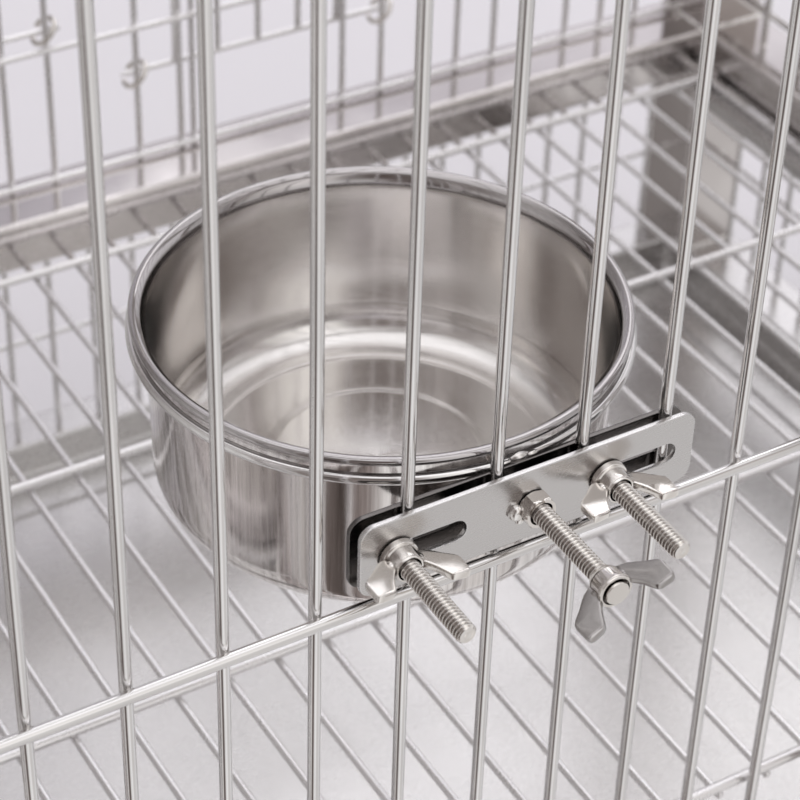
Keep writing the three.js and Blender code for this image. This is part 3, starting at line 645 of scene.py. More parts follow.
def side_walls(side, sign):
    low, high = span(f"{side}_panel")
    half = (high[1] - low[1]) / 2
    origin = (middle(f"floor_{side}_rail")[0], (low[1] + high[1]) / 2, 0)
    wall = Panel(origin, Y, Z, sign * X, WIRE_R, WIRE_R)
    wall.fill(centred(SIDE_RODS, ROD_PITCH), low[2], high[2], SIDE_LEVELS, -half, half)
    piece(wall.shape, f"{side}_panel", "wires", "wire_steel")
    skirt(side, origin, Y, sign * X, SIDE_SKIRT_WIRES)


def skirt(side, origin, along, normal, count):
    """Thin uprights and one cross wire between the base frame and the rail at floor level."""
    low, high = span(f"{side}_skirt")
    half = np.dot(high - low, along) / 2
    panel = Panel(origin, along, Z, normal, THIN_R, THIN_R, sides=14)
    level = (low[2] + high[2]) / 2
    panel.fill(centred(count, SKIRT_PITCH), low[2], high[2], [level], -half, half)
    piece(panel.shape, f"{side}_skirt", "wires", "wire_steel", SOFT_WIRES)


def roof_panel():
    low, high = span("roof_panel")
    roof = Panel((0, low[1], low[2] + WIRE_R), X, Y, Z, WIRE_R, WIRE_R)
    levels = np.array(ROOF_LEVELS) - FRONT_INNER_Y
    roof.fill(centred(ROOF_RODS, ROD_PITCH), 0, high[1] - low[1], levels, low[0], high[0])
    piece(roof.shape, "roof_panel", "wires", "wire_steel")


def floor_grid():
    low, high = span("floor_grid")
    grid = Panel((0, low[1], low[2] + THIN_R), X, Y, Z, THIN_R, WIRE_R, sides=18, bow=0.25)
    levels = WIRE_R + FLOOR_CROSSER_PITCH * np.arange(FLOOR_CROSSERS)
    wires = centred(FLOOR_WIRES, FLOOR_PITCH)
    grid.fill(wires, 0, high[1] - low[1], levels, low[0], high[0], (False, False))
    piece(grid.shape, "floor_grid", "wires", "wire_steel", SOFT_WIRES)


def rear_wall():
    low, high = span("rear_panel")
    opening_top = REAR_FULL_LEVELS[1]
    wall = Panel((0, rear_plane(), 0), X, Z, -Y, THIN_R, THIN_R, sides=16, bow=0.2)
    wall.upright(REAR_OPENING[0], low[2], opening_top + 1, (True, False))
    for k in range(-REAR_EACH_SIDE, REAR_EACH_SIDE + 1):
        at = k * REAR_PITCH
        if REAR_OPENING[0] < at < REAR_OPENING[1]:
            wall.upright(at, opening_top - 1, high[2], (False, True))
        else:
            wall.upright(at, low[2], high[2])
    for level in REAR_FULL_LEVELS:
        wall.crosser(level, low[0], high[0])
    for level in REAR_BROKEN_LEVELS:
        wall.crosser(level, low[0], REAR_OPENING[0] + 1, (True, False))
        wall.crosser(level, REAR_OPENING[1] - 1, high[0], (False, True))
    wall.crosser(SHORT_ROD[1], low[0], SHORT_ROD[0], (True, False), face=-1)
    wall.weld_crossings()
    piece(wall.shape, "rear_panel", "wires", "wire_steel", SOFT_WIRES)


def rear_plane():
    """The plane through the rear wall's uprights, whose wires touch the panel's inner box face."""
    return span("rear_panel")[0][1] + 3 * THIN_R


def rear_flap():
    """A flap outside the rear wall: a bent rod over its own longer hinge rod."""
    low, high = span("rear_door")
    top = high[2] - FLAP_ROD_R
    plane = high[1] - 3 * THIN_R
    left, right = FLAP_SIDES
    flap = Panel((0, plane, 0), X, Z, Y, THIN_R, THIN_R, sides=16, bow=0.1)
    uprights = (left + right) / 2 + centred(3, (right - left) / 4)
    flap.fill(uprights, PIN_Z, top, FLAP_LEVELS, left, right, (False, False))
    bend = 3 * FLAP_ROD_R
    arch = [(left, PIN_Z)] + arc_points((left + bend, top - bend), bend, pi, pi / 2, 9)
    arch += arc_points((right - bend, top - bend), bend, pi / 2, 0, 9) + [(right, PIN_Z)]
    path = np.array([(x, plane, z) for x, z in arch])
    swept(flap.shape, path, Y, FLAP_ROD_R, 24)
    pin = np.linspace((low[0], plane, PIN_Z), (high[0], plane, PIN_Z), 40)
    swept(flap.shape, pin, Z, round_ends(pin, THIN_R), 18)
    collar = [(-0.6, 1.7), (0, 2.5), (0.8, 2.3), (1.3, 1.9)]
    for x in (left, right):
        turned(flap.shape, (x, plane, PIN_Z + 0.9), Z, collar, 16, 1, ripple=0.03)
    piece(flap.shape, "rear_door", "wires", "wire_steel", SOFT_WIRES)


def rod_frame(shape, low, high, plane, radius):
    """A rectangle of bent rod with a butt weld in its lower run."""
    centre = (low + high) / 2
    loop = rounded_loop((high[0] - low[0]) / 2 - radius, (high[2] - low[2]) / 2 - radius, 3 * radius, 9)
    path = np.column_stack([loop[:, 0] + centre[0], np.full(len(loop), plane), loop[:, 1] + centre[2]])
    swept(shape, path, Y, radius, 24, closed=True)
    seam = np.array([centre[0], plane, low[2] + radius])
    swell = [(-1.6, -0.1), (-0.8, 0.16), (0, 0.22), (0.8, 0.14), (1.6, -0.1)]
    turned(shape, seam, X, [(x, radius + rise) for x, rise in swell], 20, 1, ripple=0.01)


# ---------- tube frame ----------
def square_tube(node_name, along):
    """A square tube with rounded edges and a weld round each end, run through to its neighbours' faces."""
    low, high = span(node_name)
    low[along] -= GAP
    high[along] += GAP
    a, b = [axis for axis in range(3) if axis != along]
    centre, half = (low + high) / 2, (high - low) / 2
    loop = rounded_loop(half[a], half[b], TUBE_CORNER)
    rings = []
    for end in (low[along], high[along]):
        ring = np.zeros((len(loop), 3))
        ring[:, a], ring[:, b], ring[:, along] = loop[:, 0] + centre[a], loop[:, 1] + centre[b], end
        rings.append(ring)
    shape = Shape()
    shape.strip(rings)
    for ring, inward in zip(rings, (1, -1)):
        line = ring.copy()
        line[:, along] += 0.2 * inward
        bead(shape, line, np.eye(3)[along])
    piece(shape, node_name, "tube", "polished_steel", flats=True)


def ring_frame(node_name, material=None):
    """The mitred rectangle of tube at the bottom or top, with a dressed weld across each mitre."""
    low, high = span(node_name)
    centre, half = (low + high) / 2, (high - low) / 2
    width = span("front_left_post")[1][0] - span("front_left_post")[0][0]
    section = rounded_loop(width / 2, half[2], TUBE_CORNER)
    shape = Shape()
    columns = []
    for across, height in section:
        inset = width / 2 - across
        radius = TUBE_CORNER - 2.0 * inset / width
        loop = rounded_loop(half[0] - inset, half[1] - inset, radius, 5)
        columns.append(np.column_stack([loop + centre[:2], np.full(len(loop), centre[2] + height)]))
    shape.strip(np.stack(columns, 1), closed=True)
    ripple = 1.0 + 0.1 * np.sin(np.arange(40))
    for corner in ((-1, -1), (-1, 1), (1, -1), (1, 1)):
        outer, inner = [centre[:2] + np.array(corner) * (half[:2] - inset) for inset in (2.5, width - 0.5)]
        for height in (low[2], high[2]):
            mitre = np.linspace((*outer, height), (*inner, height), len(ripple))
            swept(shape, mitre, Z, ripple, 8, kind=1, flatten=0.22)
    piece(shape, node_name, "tube", "polished_steel", material, flats=True)


def tube_frame():
    ring_frame("base_frame", SATIN)
    ring_frame("top_frame")
    for end in ("front", "rear"):
        for side in ("left", "right"):
            square_tube(f"{end}_{side}_post", 2)
            foot(f"{end}_{side}_foot")
    for name, along in (("front", 0), ("rear", 0), ("left", 1), ("right", 1)):
        square_tube(f"floor_{name}_rail", along)
    square_tube("door_jamb", 2)


def foot(node_name):
    """A ribbed rubber foot with a flange against the frame."""
    low, high = span(node_name)
    centre = (low + high) / 2
    height = high[2] - low[2] + GAP
    profile = [(0, 11.5), (0, 12.8), (0.5, 13.7), (1.6, 14.1)]
    ribs, rib_pitch, groove = 4, 3.4, 0.7
    for i in range(ribs):
        z = 4 + rib_pitch * i
        radius = 14.2 + 0.11 * z
        profile += [(z, radius), (z + 0.3, radius - groove), (z + 1.1, radius - groove)]
        profile.append((z + 1.4, radius + 0.1))
    profile += [(18.2, 16.2), (18.8, 17.4), (19.8, 18), (height - 0.8, 18), (height, 17.5), (height, 12)]
    shape = Shape()
    turned(shape, (centre[0], centre[1], 0), Z, profile, 48)
    piece(shape, node_name, "pad", "rubber")


def angle_bar(node_name, sign):
    """A bent-sheet angle along the side of the cage: a flange on top and a leg down the wall."""
    low, high = span(node_name)
    width, drop = high[0] - low[0], high[2] - low[2]
    sheet, radius, inner_radius, edge = 2.0, 2.2, 0.6, 0.3
    corner = -sheet - inner_radius
    loop = [(-width + edge, 0)] + arc_points((-radius, -radius), radius, pi / 2, 0, 6)
    loop += [(0, -drop + edge), (-edge, -drop), (-sheet + edge, -drop), (-sheet, -drop + edge)]
    loop += arc_points((corner, corner), inner_radius, 0, pi / 2, 6)
    loop = np.array(loop + [(-width + edge, -sheet), (-width, -sheet + edge), (-width, -edge)])
    wall = high[0] if sign > 0 else low[0]
    x, z = wall + sign * loop[:, 0], high[2] + loop[:, 1]
    shape = Shape()
    shape.strip([np.column_stack([x, np.full(len(loop), y), z]) for y in (low[1], high[1])])
    bead_length = 16
    for share in (0.04, 0.35, 0.65, 0.96):
        start = np.array([wall, low[1] + share * (high[1] - low[1]) - bead_length / 2, low[2]])
        bead(shape, [start, start + bead_length * Y], X, closed=False)
    piece(shape, node_name, "sheet", "satin_steel", flats=True)


# ---------- front door, hinges and latches ----------
def front_door():
    low, high = span("front_door")
    plane = high[1] - DOOR_ROD_R
    pitch = (high[0] - low[0] - 2 * DOOR_ROD_R) / (DOOR_UPRIGHTS + 1)
    door = Panel(((low[0] + high[0]) / 2, plane, 0), X, Z, -Y, WIRE_R, WIRE_R)
    half = (high[0] - low[0]) / 2 - DOOR_ROD_R
    door.fill(centred(DOOR_UPRIGHTS, pitch), low[2] + DOOR_ROD_R, high[2] - DOOR_ROD_R, DOOR_LEVELS,
              -half, half, (False, False))
    rod_frame(door.shape, low, high, plane, DOOR_ROD_R)
    piece(door.shape, "front_door", "wires", "wire_steel")


def knuckle(shape, x, y, low, high):
    """One barrel of a hinge, bored for its pin."""
    length, radius, bore = high - low, 4.5, 2.7
    profile = [(0, bore), (0, radius - 0.4), (0.12, radius - 0.12), (0.4, radius), (length - 0.4, radius),
               (length - 0.12, radius - 0.12), (length, radius - 0.4), (length, bore)]
    turned(shape, (x, y, low), Z, profile, 40, closed=True)


def rivet(shape, centre, axis):
    """A domed rivet head."""
    radius, height = 2.6, 1.2
    angles = np.linspace(0, pi / 2, 6)
    dome = [(height * sin(a), radius * cos(a)) for a in angles[:-1]] + [(height, 0.2)]
    turned(shape, centre, axis, [(-0.3, radius)] + dome, 24)


def hinge(level):
    """A bracket with two knuckles and a leaf, its headed pin, and the door's eye between the knuckles."""
    pin_low, pin_high = span(f"hinge_pin_{level}")
    x, y, z = (pin_low + pin_high) / 2
    length = pin_high[2] - pin_low[2]
    eye_low, eye_high = span(f"door_hinge_eye_{level}")
    eye_half = (eye_high[2] - eye_low[2]) / 2
    right, face = span(f"hinge_bracket_{level}")[1][:2]
    leaf, leaf_half, arm = 2, 20, 3.2

    bracket = Shape()
    block(bracket, (x + 5, face - leaf, z - leaf_half), (right, face, z + leaf_half), 0.5, 4, up=1)
    for sign in (-1, 1):
        ends = sorted((sign * (eye_half + GAP), sign * (length / 2 - 2)))
        knuckle(bracket, x, y, z + ends[0], z + ends[1])
        block(bracket, (x + arm, y + 0.5, z + ends[0]), (x + 8, face, z + ends[1]), 0.8)
        rivet(bracket, (x + 24, face - leaf, z + sign * 13), -Y)
    rivet(bracket, (x + 16, face - leaf, z), -Y)
    piece(bracket, f"hinge_bracket_{level}", "leaf", "satin_steel", flats=True)

    pin = Shape()
    profile = [(0, 1.6), (0.4, 2.1), (1, 2.4), (length - 1.7, 2.4), (length - 1.65, 3.7),
               (length - 1.0, 3.9), (length - 0.35, 3.2), (length, 1.6)]
    turned(pin, (x, y, pin_low[2]), Z, profile, 32)
    piece(pin, f"hinge_pin_{level}", "turned", "fastener_steel")

    eye = Shape()
    knuckle(eye, x, y, eye_low[2], eye_high[2])
    block(eye, (eye_low[0], y - 2.2, eye_low[2]), (x - arm, eye_high[1], eye_high[2]), 1.2)
    seam = [(eye_low[0], eye_high[1], height) for height in (eye_low[2], eye_high[2])]
    bead(eye, seam, X, closed=False, radius=1.3)
    piece(eye, f"door_hinge_eye_{level}", "arm", "satin_steel", flats=True)


def latch(end, sign):
    """A slide latch. sign is the way its bolt shoots along X, and its outside faces the same sign of Y."""
    plate_box, keeper_box = span(f"{end}_latch_plate"), span(f"{end}_latch_keeper")
    front, rear = (1, 0) if sign > 0 else (0, 1)
    x0 = plate_box[front][0] + sign
    back = plate_box[rear][1] - sign * GAP
    z0 = middle(f"{end}_latch_plate")[2]
    bolt_y, bolt_r, plate_face = 12.0, 4.0, 2 + GAP

    def at(x, y, z=0.0):
        return np.array([x0 + sign * x, back + sign * y, z0 + z])

    def bored(shape, x_start, length, y_low, y_high, half_z, corner):
        """A bored block: an outline in the y-z plane, run along x."""
        outline = rounded_loop((y_high - y_low) / 2, half_z, corner)
        outline = outline + ((y_low + y_high) / 2, 0)
        angle = circle(32)
        bore = np.stack([bolt_y + (bolt_r + GAP) * np.cos(angle), (bolt_r + GAP) * np.sin(angle)], -1)
        place = placed(at(x_start, 0), (0, sign, 0), Z, (sign, 0, 0))
        cut_plate(shape, place, outline, [bore], length, 0.6)

    plate = Shape()
    ends = np.sort([at(-71, GAP, -15), at(-1, plate_face, 15)], axis=0)
    block(plate, *ends, 0.4, 5, up=1)
    for start in (-20, -64):
        bored(plate, start, 10, 2, 19, 7, 4.5)
    for x in (-66.5, -5.5):
        for z in (-10.5, 10.5):
            rivet(plate, at(x, plate_face, z), sign * Y)
    piece(plate, f"{end}_latch_plate", "body", "satin_steel", flats=True)

    keeper = Shape()
    base = sign * (keeper_box[rear][1] - back)
    bored(keeper, 4.3, 11.7, base, 19, 9, 3.5)
    piece(keeper, f"{end}_latch_keeper", "body", "satin_steel", flats=True)

    bolt = Shape()
    bar(bolt, at(-76, bolt_y), at(-4, bolt_y), bolt_r, 36, 0.9)
    ball = 6.5
    knob = [(0, 2.5), (12.5, 2.5), (13.4, 3.4)]
    knob += [(20 - ball * cos(a), ball * sin(a)) for a in np.linspace(0.5, 2.9, 14)]
    turned(bolt, at(-44, bolt_y), sign * Y, knob, 36)
    piece(bolt, f"{end}_latch_bolt", "rod", "fastener_steel")


def ring_clip(number):
    """An open ring of wire, tilted so that it goes round an upright and the rod that crosses it."""
    radius, wire_r = 6.6, 1.25
    x, behind, z = CLIPS[number]
    angles = np.linspace(-0.25, 2 * pi - 0.95, 44)
    tilted = radius * np.sin(angles) / sqrt(2)
    path = np.column_stack([x + tilted, rear_plane() + behind + radius * np.cos(angles), z + tilted])
    shape = Shape()
    swept(shape, path, unit((-1, 0, 1)), round_ends(path, wire_r), 18)
    piece(shape, f"ring_clip_{number}", "wire", "fastener_steel")


# ---------- tray ----------
def tray():
    """A folded pan with a hemmed rim and a shallow pressed panel in its floor."""
    low, high = span("tray")
    centre, half = (low + high) / 2, (high - low) / 2
    height, sheet, fold, hem = high[2] - low[2], 1.5, 3.0, 1.5
    section = [(fold + 0.2, 0.0)] + arc_points((fold, fold), fold, -pi / 2, -pi, 5)
    section += arc_points((hem, height - hem), hem, pi, 0, 9)
    section += [(2 * hem, height - 7), (2 * hem - 0.3, height - 7.4), (sheet + 0.1, height - 7.5)]
    section += arc_points((fold, fold), fold - sheet, -pi, -pi / 2, 5)
    section += [(28, sheet), (30, sheet + 0.3), (32, sheet + 1.2), (34, sheet + 1.5)]
    outer_corner, panel_corner = 7, 12
    rings = []
    for inset, rise in section:
        corner = max(outer_corner - inset, 1.0) if inset < 20 else panel_corner
        loop = rounded_loop(half[0] - inset, half[1] - inset, corner)
        rings.append(np.column_stack([loop + centre[:2], np.full(len(loop), low[2] + rise)]))
    shape = Shape()
    shape.strip(rings)
    piece(shape, "tray", "pan", "satin_steel", flats=True)

    low, high = span("tray_front")
    face_y = high[1]
    middle_z = (low[2] + high[2]) / 2
    outline = rounded_loop((high[0] - low[0]) / 2, (high[2] - low[2]) / 2, 5)
    slot = rounded_loop(48, 9, 8.9, 12)
    shape = Shape()
    cut_plate(shape, placed((0, face_y, middle_z), X, Z, -Y), outline, [slot], 2.0, 0.5)
    rim = np.column_stack([slot[:, 0], np.full(len(slot), face_y - 1), slot[:, 1] + middle_z])
    swept(shape, rim, Y, 1.7, 14, closed=True)
    block(shape, (-300, low[1], high[2] - 8), (300, face_y - 1, high[2] - 6), 0.7, 3)
    piece(shape, "tray_front", "sheet", "satin_steel", flats=True)


# ---------- bowl ----------
def bowl():
    """A deep-drawn bowl: rolled rim, nearly straight wall, and a floor that steps up to a flat disc."""
    low, high = span("bowl")
    centre = (low + high) / 2
    rim, top, base = (high[0] - low[0]) / 2, high[2], low[2]
    sheet, half_wide, half_high = 0.9, 1.6, 1.4
    wall_top, wall_bottom, corner, disc = 75.0, 74.0, 9.0, 34.0
    profile = [(0.0, base + 2), (20, base + 2), (disc - 1, base + 2), (disc, base + 1.8),
               (disc + 1.5, base + 0.7), (disc + 3, base + 0.1), (disc + 5, base), (54, base)]
    profile += arc_points((wall_bottom - corner, base + corner), corner, -pi / 2, -0.02, 10)
    heights = np.linspace(base + corner + 3, top - 6, 8)
    slope = (wall_top - wall_bottom) / (heights[-1] - base - corner)
    wall = [(wall_bottom + slope * (z - base - corner), z) for z in heights]
    profile += wall
    profile += [(rim - half_wide + half_wide * cos(a), top - half_high + half_high * sin(a))
                for a in np.linspace(-2.2, 2.5, 24)]
    for radius, drop in ((76.2, 1.1), (75.6, 1.9), (75.1, 3.0), (74.6, 4.6), (74.25, 6.4)):
        profile.append((radius, top - drop))
    profile += [(r - sheet, z) for r, z in reversed(wall[:-1])]
    inner, step = corner + 3.5, base + sheet
    profile += arc_points((wall_bottom - sheet - inner, step + inner), inner, -0.02, -pi / 2, 14)
    floor = [(58, 0.02), (57.2, 0.25), (56.6, 0.6), (55.6, 0.7), (46, 0.9), (39.6, 1.0), (38.9, 1.25),
             (37.9, 1.25), (37.4, 1.6), (36.5, 1.6), (36.0, 2.0), (35.1, 2.0), (34.6, 2.35), (33.6, 2.4),
             (20, 2.4), (0.0, 2.4)]
    profile += [(radius, step + rise) for radius, rise in floor]
    shape = Shape()
    turned(shape, (centre[0], centre[1], 0), Z, [(z, r) for r, z in profile], 180)
    piece(shape, "bowl", "shell", "satin_steel", BOWL_STEEL, sharp=50)


def ring_holder():
    low, high = span("ring_holder")
    centre, wire_r = (low + high) / 2, (high[2] - low[2]) / 2
    radius = (high[0] - low[0]) / 2 - wire_r
    angles = circle(180)
    path = centre + radius * np.column_stack([np.cos(angles), np.sin(angles), 0 * angles])
    shape = Shape()
    swept(shape, path, Z, wire_r, 28, closed=True)
    plate_face = span("rear_clamp_plate")[1][1]
    for x, z, size in ((-4.5, 0.9, 0.8), (0, 1.8, 1.3), (4.5, 1.1, 0.9)):
        blob(shape, (centre[0] + x, plate_face + 0.6, centre[2] + z), (2.6 * size, 1.3 * size, 1.5 * size))
    piece(shape, "ring_holder", "wire", "polished_steel", WIRES)


# ---------- clamp ----------
def clamp_plate(node_name, slot_name, lift, material=None):
    """A slotted plate with rounded edges. lift is how far its holes sit above its middle."""
    low, high = span(node_name)
    centre = (low + high) / 2
    outline = rounded_loop((high[0] - low[0]) / 2, (high[2] - low[2]) / 2, 5, 10)
    near, far, half_height = 22.6, 51.7, 3.7
    screw_hole = 3.75
    holes = []
    for sign in (-1, 1):
        slot = rounded_loop((far - near) / 2, half_height, half_height - 0.02, 12)
        holes.append(slot + (sign * (near + far) / 2, lift))
    angle = circle(40)
    holes.append(screw_hole * np.stack([np.cos(angle), np.sin(angle)], -1) + (0, lift))
    shape = Shape()
    place = placed((centre[0], high[1], centre[2]), X, Z, -Y)
    cut_plate(shape, place, outline, holes, high[1] - low[1], 0.4)
    piece(shape, node_name, "sheet", slot_name, material, flats=True)


def threaded(shape, centre, y_from, y_to):
    """A threaded shank along Y with a chamfered tip and the marks of facing on its end."""
    rows_per_turn, chamfer, tip_drop = 14, 0.8, 0.75
    y = np.linspace(0, y_to - y_from, int((y_to - y_from) / THREAD_PITCH * rows_per_turn))
    angle = circle(36)
    phase = (y[:, None] / THREAD_PITCH - angle[None, :] / (2 * pi)) % 1.0
    valley = np.clip(np.abs(phase - 0.5) * 2.4 - 0.12, 0, 1)
    tip_radius = THREAD_R - tip_drop
    reach = tip_radius + np.clip(y, 0, chamfer) / chamfer * tip_drop
    reach = np.where(y < chamfer, reach, 2 * THREAD_R)
    radius = np.minimum(THREAD_R - THREAD_DEPTH * valley, reach[:, None])
    ring = np.stack([np.cos(angle), 0 * angle, np.sin(angle)], -1)
    start = np.array([centre[0], y_from, centre[2]])
    facing = ((0.02, 0.1), (0.3, 0.02), (0.36, 0.12), (0.62, 0.1), (0.7, 0.0), (0.94, 0.04))
    face = [start + rise * Y + share * tip_radius * ring for share, rise in facing]
    shank = start + y[:, None, None] * Y + radius[:, :, None] * ring
    shape.strip(np.concatenate([face, shank]))


def clamp_bolt(side):
    low, high = span(f"clamp_bolt_{side}")
    centre = (low + high) / 2
    shape = Shape()
    threaded(shape, centre, low[1], high[1] - 2.0)
    head = [(0, 5.6), (0.25, 6.0), (1.2, 5.9), (1.9, 5.0), (2.35, 3.4), (2.6, 1.2)]
    turned(shape, (centre[0], high[1] - 2.6, centre[2]), Y, head, 40)
    piece(shape, f"clamp_bolt_{side}", "thread", "fastener_steel", sharp=60)


def wing_outline(sign):
    """One wing in the plane of the hub's axis: x out from the axis and y away from the seat."""
    loop = np.array([(3.9, 1.0), (6.0, 1.4), (8.0, 2.3), (9.8, 3.7), (11.6, 5.3), (14.4, 7.3), (15.4, 8.3),
                     (15.8, 9.6), (15.6, 14.6), (15.1, 15.7), (13.8, 16.1), (10.4, 15.8), (9.1, 15.0),
                     (8.1, 13.0), (7.1, 10.8), (5.9, 8.8), (4.9, 7.4), (3.9, 6.8)])
    return loop if sign > 0 else (loop * (-1, 1))[::-1]


def wing_head(node_name, suffix, shank, seat_y, turn, screw=False):
    """A wing nut, or the winged head of the clamp screw, with its seat at seat_y and its wings off to -Y."""
    x, _, z = middle(shank)
    origin = np.array([x, seat_y, z])
    x_axis = np.array([cos(turn), 0, -sin(turn)])
    z_axis = np.array([sin(turn), 0, cos(turn)])
    shape = Shape()
    if screw:
        hub = [(0, 3.2), (0, 4.1), (0.7, 4.6), (1.5, 4.9), (1.7, 4.7), (2.0, 5.0), (5.4, 5.25), (6.3, 5.6),
               (7.0, 5.7), (7.5, 5.4), (7.5, 4.6), (6.6, 4.45), (6.6, 3.9), (8.2, 3.85), (8.45, 3.65),
               (8.5, 3.2), (8.5, 0.4)]
        turned(shape, origin, -Y, hub, 56, kind=1)
    else:
        hub = [(0, 3.6), (0, 5.7), (0.3, 6.05), (1.9, 6.05), (2.3, 5.75), (2.6, 5.1), (5.0, 4.9), (6.4, 4.85),
               (7.1, 4.6), (7.5, 4.3), (7.4, 3.9), (6.9, 3.6)]
        turned(shape, origin, -Y, hub, 48, closed=True)
    thickness, bevel = 2.8, 0.8
    for sign in (-1, 1):
        place = placed(origin - z_axis * thickness / 2, x_axis, -Y, z_axis)
        cut_plate(shape, place, wing_outline(sign), [], thickness, bevel)
        root = origin - 4.2 * Y + sign * 4.6 * x_axis
        blob(shape, root, (2.0, 2.6, 1.9), kind=0, lumps=0.03)
    material = SCREW if screw else None
    piece(shape, node_name, suffix, "fastener_steel", material, sharp=40, flats=True, second=FASTENER)


def clamp_nut():
    """The hex nut welded to the front plate, bored for the screw."""
    low, high = span("clamp_screw_nut")
    centre, depth = (low + high) / 2, high[1] - low[1]
    corner_r, bore, mouth = 5.77, 3.6, 4.0
    angles = circle(48)
    sector = (angles + pi / 6) % (pi / 3) - pi / 6
    hexagon = corner_r * cos(pi / 6) / np.cos(sector)
    outside = [(0, 5.0), (0.5, 5.5), (0.9, 9), (depth - 0.9, 9), (depth - 0.5, 5.5), (depth, 5.0)]
    rows = [(y, np.minimum(hexagon, limit)) for y, limit in outside]
    rows += [(y, radius) for y, radius in ((depth, mouth), (depth - 0.6, bore), (0.6, bore), (0, mouth))]
    rings = []
    for y, radius in rows:
        rings.append(centre + np.column_stack([radius * np.sin(angles), 0 * angles + y - depth / 2,
                                               radius * np.cos(angles)]))
    shape = Shape()
    shape.strip(rings, closed=True)
    blob(shape, centre + (-6.0, depth / 2 - 0.6, -0.6), (2.6, 1.9, 2.7))
    blob(shape, centre + (-4.6, depth / 2 - 0.5, -3.8), (1.6, 1.2, 1.5))
    piece(shape, "clamp_screw_nut", "body", "fastener_steel", flats=True, sharp=25)


def clamp():
    # The rear plate is given the near-black painted-shade steel.
    clamp_plate("rear_clamp_plate", "polished_steel", 1.8, SHADED_PLATE)
    clamp_plate("front_clamp_plate", "satin_steel", 0.0)
    seat = span("front_clamp_plate")[0][1] - GAP
    for side, turn in (("left", 0.09), ("right", 0.06)):
        clamp_bolt(side)
        wing_head(f"wing_nut_{side}", "body", f"clamp_bolt_{side}", seat, turn)

    low, high = span("clamp_screw")
    shape = Shape()
    threaded(shape, (low + high) / 2, low[1] + 4, high[1])
    piece(shape, "clamp_screw", "thread", "fastener_steel", sharp=60)
    wing_head("clamp_screw_wing", "head", "clamp_screw", low[1] + 8.5, -0.43, screw=True)
    clamp_nut()


# ---------- stage ----------
def ramp(tree, value, stops):
    """A colour ramp from (position, colour) pairs."""
    made = node(tree, "ValToRGB", {0: value})
    made.color_ramp.interpolation = "EASE"
    points = made.color_ramp.elements
    while len(points) < len(stops):
        points.new(0.5)
    for point, (position, colour) in zip(points, stops):
        point.position = position
        point.color = (*colour, 1)
    return made.outputs[0]


# What bare steel mirrors, by direction round the room: degrees to the right of the camera, then colour.
LOW_ROOM = [
    (-180, (0.64, 0.63, 0.635)), (-138, (0.52, 0.50, 0.50)), (-116, (0.22, 0.20, 0.195)),
    (-92, (0.44, 0.42, 0.41)), (-74, (0.70, 0.685, 0.68)), (-42, (0.70, 0.68, 0.67)),
    (-30, (0.22, 0.185, 0.175)), (-16, (0.08, 0.065, 0.06)), (-6, (0.28, 0.24, 0.23)),
    (8, (0.82, 0.805, 0.80)), (30, (0.92, 0.91, 0.91)), (56, (0.66, 0.635, 0.625)),
    (110, (0.76, 0.755, 0.765)), (150, (0.54, 0.53, 0.54)), (180, (0.64, 0.63, 0.635))]
HIGH_ROOM = [
    (-180, (0.76, 0.73, 0.79)), (-168, (0.54, 0.515, 0.56)), (-150, (0.60, 0.57, 0.61)),
    (-132, (0.32, 0.30, 0.30)), (-112, (0.26, 0.24, 0.235)), (-88, (0.48, 0.46, 0.45)),
    (-66, (0.56, 0.54, 0.53)), (-44, (0.31, 0.28, 0.27)), (-22, (0.31, 0.28, 0.27)),
    (-8, (0.20, 0.17, 0.16)), (4, (0.17, 0.14, 0.13)), (16, (0.36, 0.33, 0.32)),
    (28, (0.92, 0.89, 0.87)), (42, (1.15, 1.12, 1.10)), (56, (0.90, 0.87, 0.85)),
    (74, (0.44, 0.405, 0.39)), (92, (0.64, 0.62, 0.615)), (114, (0.95, 0.93, 0.95)),
    (160, (1.02, 0.99, 1.03)), (180, (0.76, 0.73, 0.79))]
CEILING = (1.30, 1.28, 1.30)
EVEN_LIGHT = (0.93, 0.91, 0.94)     # what matt surfaces receive from every side


def room_colour(tree, direction, bands):
    """The room's colour in a direction: upright bands round the horizon."""
    towards_camera = (sin(CAMERA_AZIMUTH), -cos(CAMERA_AZIMUTH), 0)
    right = (cos(CAMERA_AZIMUTH), sin(CAMERA_AZIMUTH), 0)
    parts = [vector_math(tree, "DOT_PRODUCT", direction, axis, "Value") for axis in (right, towards_camera)]
    turn = remap(tree, math_node(tree, "ARCTAN2", *parts), -pi, pi, 0, 1)
    return ramp(tree, turn, [(degrees / 360 + 0.5, colour) for degrees, colour in bands])


def stage():
    """A plain pale floor for camera and matt rays. For glossy rays it glows with the room's bands instead, a
    painted reflection that the steel mirrors.
    """
    mesh = bpy.data.meshes.new("studio_floor")
    size = 12.0
    corners = [(-size, -size, 0), (size, -size, 0), (size, size, 0), (-size, size, 0)]
    mesh.from_pydata(corners, [], [(0, 1, 2, 3)])
    floor = bpy.data.objects.new("studio_floor", mesh)
    bpy.context.scene.collection.objects.link(floor)
    made, tree, shader = new_material("studio_floor")
    tone = noise(tree, object_coordinates(tree), 3.0)
    put(shader, "Base Color", tint(tree, tone, (0.76, 0.74, 0.765), (0.80, 0.78, 0.805)))
    put(shader, "Roughness", 0.55)
    incoming = node(tree, "NewGeometry").outputs["Incoming"]
    outgoing = vector_math(tree, "MULTIPLY", incoming, (-1, -1, -1))
    # Painted reflection: for glossy rays the floor is an emission in the room's bands, so it glows though it
    # is no lamp.
    glossy_glow = node(tree, "Emission", {"Color": room_colour(tree, outgoing, LOW_ROOM)})
    glossy = node(tree, "LightPath").outputs["Is Glossy Ray"]
    mixed = node(tree, "MixShader", {0: glossy, 1: shader.outputs[0], 2: glossy_glow.outputs[0]})
    put(tree.nodes["Material Output"], "Surface", mixed.outputs[0])
    mesh.materials.append(made)


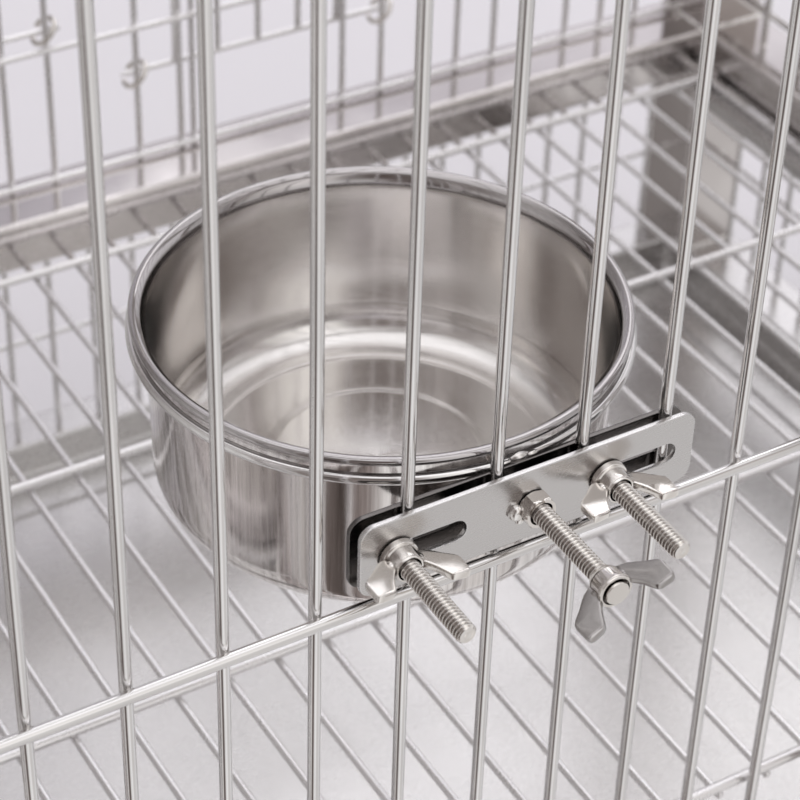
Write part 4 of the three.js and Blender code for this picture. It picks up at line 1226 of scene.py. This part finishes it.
def world_light():
    """Even soft light on matt things. Steel mirrors a room of dark and bright bands under a pale ceiling."""
    world = bpy.data.worlds.new("studio")
    bpy.context.scene.world = world
    world.use_nodes = True
    tree = world.node_tree
    direction = node(tree, "TexCoord").outputs["Generated"]
    height = node(tree, "SeparateXYZ", {0: direction}).outputs[2]
    low, high = [room_colour(tree, direction, bands) for bands in (LOW_ROOM, HIGH_ROOM)]
    walls = tint(tree, remap(tree, height, 0.0, 0.3, 0, 1), low, high)
    room = tint(tree, remap(tree, height, 0.70, 0.94, 0, 1), walls, CEILING)
    matt = node(tree, "LightPath").outputs["Is Diffuse Ray"]
    put(tree.nodes["Background"], "Color", tint(tree, matt, room, EVEN_LIGHT))


def key_light():
    """A large weak square lamp behind the cage and above it."""
    data = bpy.data.lights.new("key", "AREA")
    data.shape = "RECTANGLE"
    data.size = data.size_y = 1.6
    data.energy = 7.0
    place, target = Vector((1.2, 1.4, 2.2)), Vector((0, 0, 0.2))
    made = bpy.data.objects.new("key", data)
    made.location = place
    made.rotation_euler = (target - place).to_track_quat("-Z", "Y").to_euler()
    bpy.context.scene.collection.objects.link(made)


def camera():
    """Stands outside the front wall, to the left and above, and looks down at the bowl's clamp."""
    clamp_middle = Vector(middle("front_clamp_plate") * MM)
    reach = cos(CAMERA_ELEVATION)
    back = Vector((sin(CAMERA_AZIMUTH) * reach, -cos(CAMERA_AZIMUTH) * reach,
                   sin(CAMERA_ELEVATION)))
    focus = bpy.data.objects.new("focus", None)
    focus.location = clamp_middle
    bpy.context.scene.collection.objects.link(focus)
    data = bpy.data.cameras.new("camera")
    data.sensor_width = 36.0
    data.lens = CAMERA_LENS
    data.clip_start, data.clip_end = 0.02, 60.0
    data.dof.use_dof = True
    data.dof.focus_object = focus
    data.dof.aperture_fstop = 22.0
    made = bpy.data.objects.new("camera", data)
    made.location = clamp_middle + Vector(CAMERA_TARGET) + back * CAMERA_DISTANCE
    level = (-back).to_track_quat("-Z", "Y").to_matrix()
    made.rotation_euler = (level @ Matrix.Rotation(CAMERA_ROLL, 3, "Z")).to_euler()
    bpy.context.scene.collection.objects.link(made)
    bpy.context.scene.camera = made


# ---------- assembly ----------
front_panel()
for wall_side, wall_sign in (("left", -1), ("right", 1)):
    side_walls(wall_side, wall_sign)
    angle_bar(f"floor_ledge_{wall_side}", wall_sign)
    angle_bar(f"tray_runner_{wall_side}", wall_sign)
skirt("rear", (0, middle("floor_rear_rail")[1], 0), X, Y, REAR_SKIRT_WIRES)
roof_panel()
floor_grid()
rear_wall()
rear_flap()
tube_frame()
front_door()
hinge("lower")
hinge("upper")
latch("front", -1)
latch("rear", 1)
for clip in (1, 2, 3):
    ring_clip(clip)
tray()
bowl()
ring_holder()
clamp()
stage()
world_light()
key_light()
camera()
bpy.context.scene.view_settings.view_transform = "Standard"
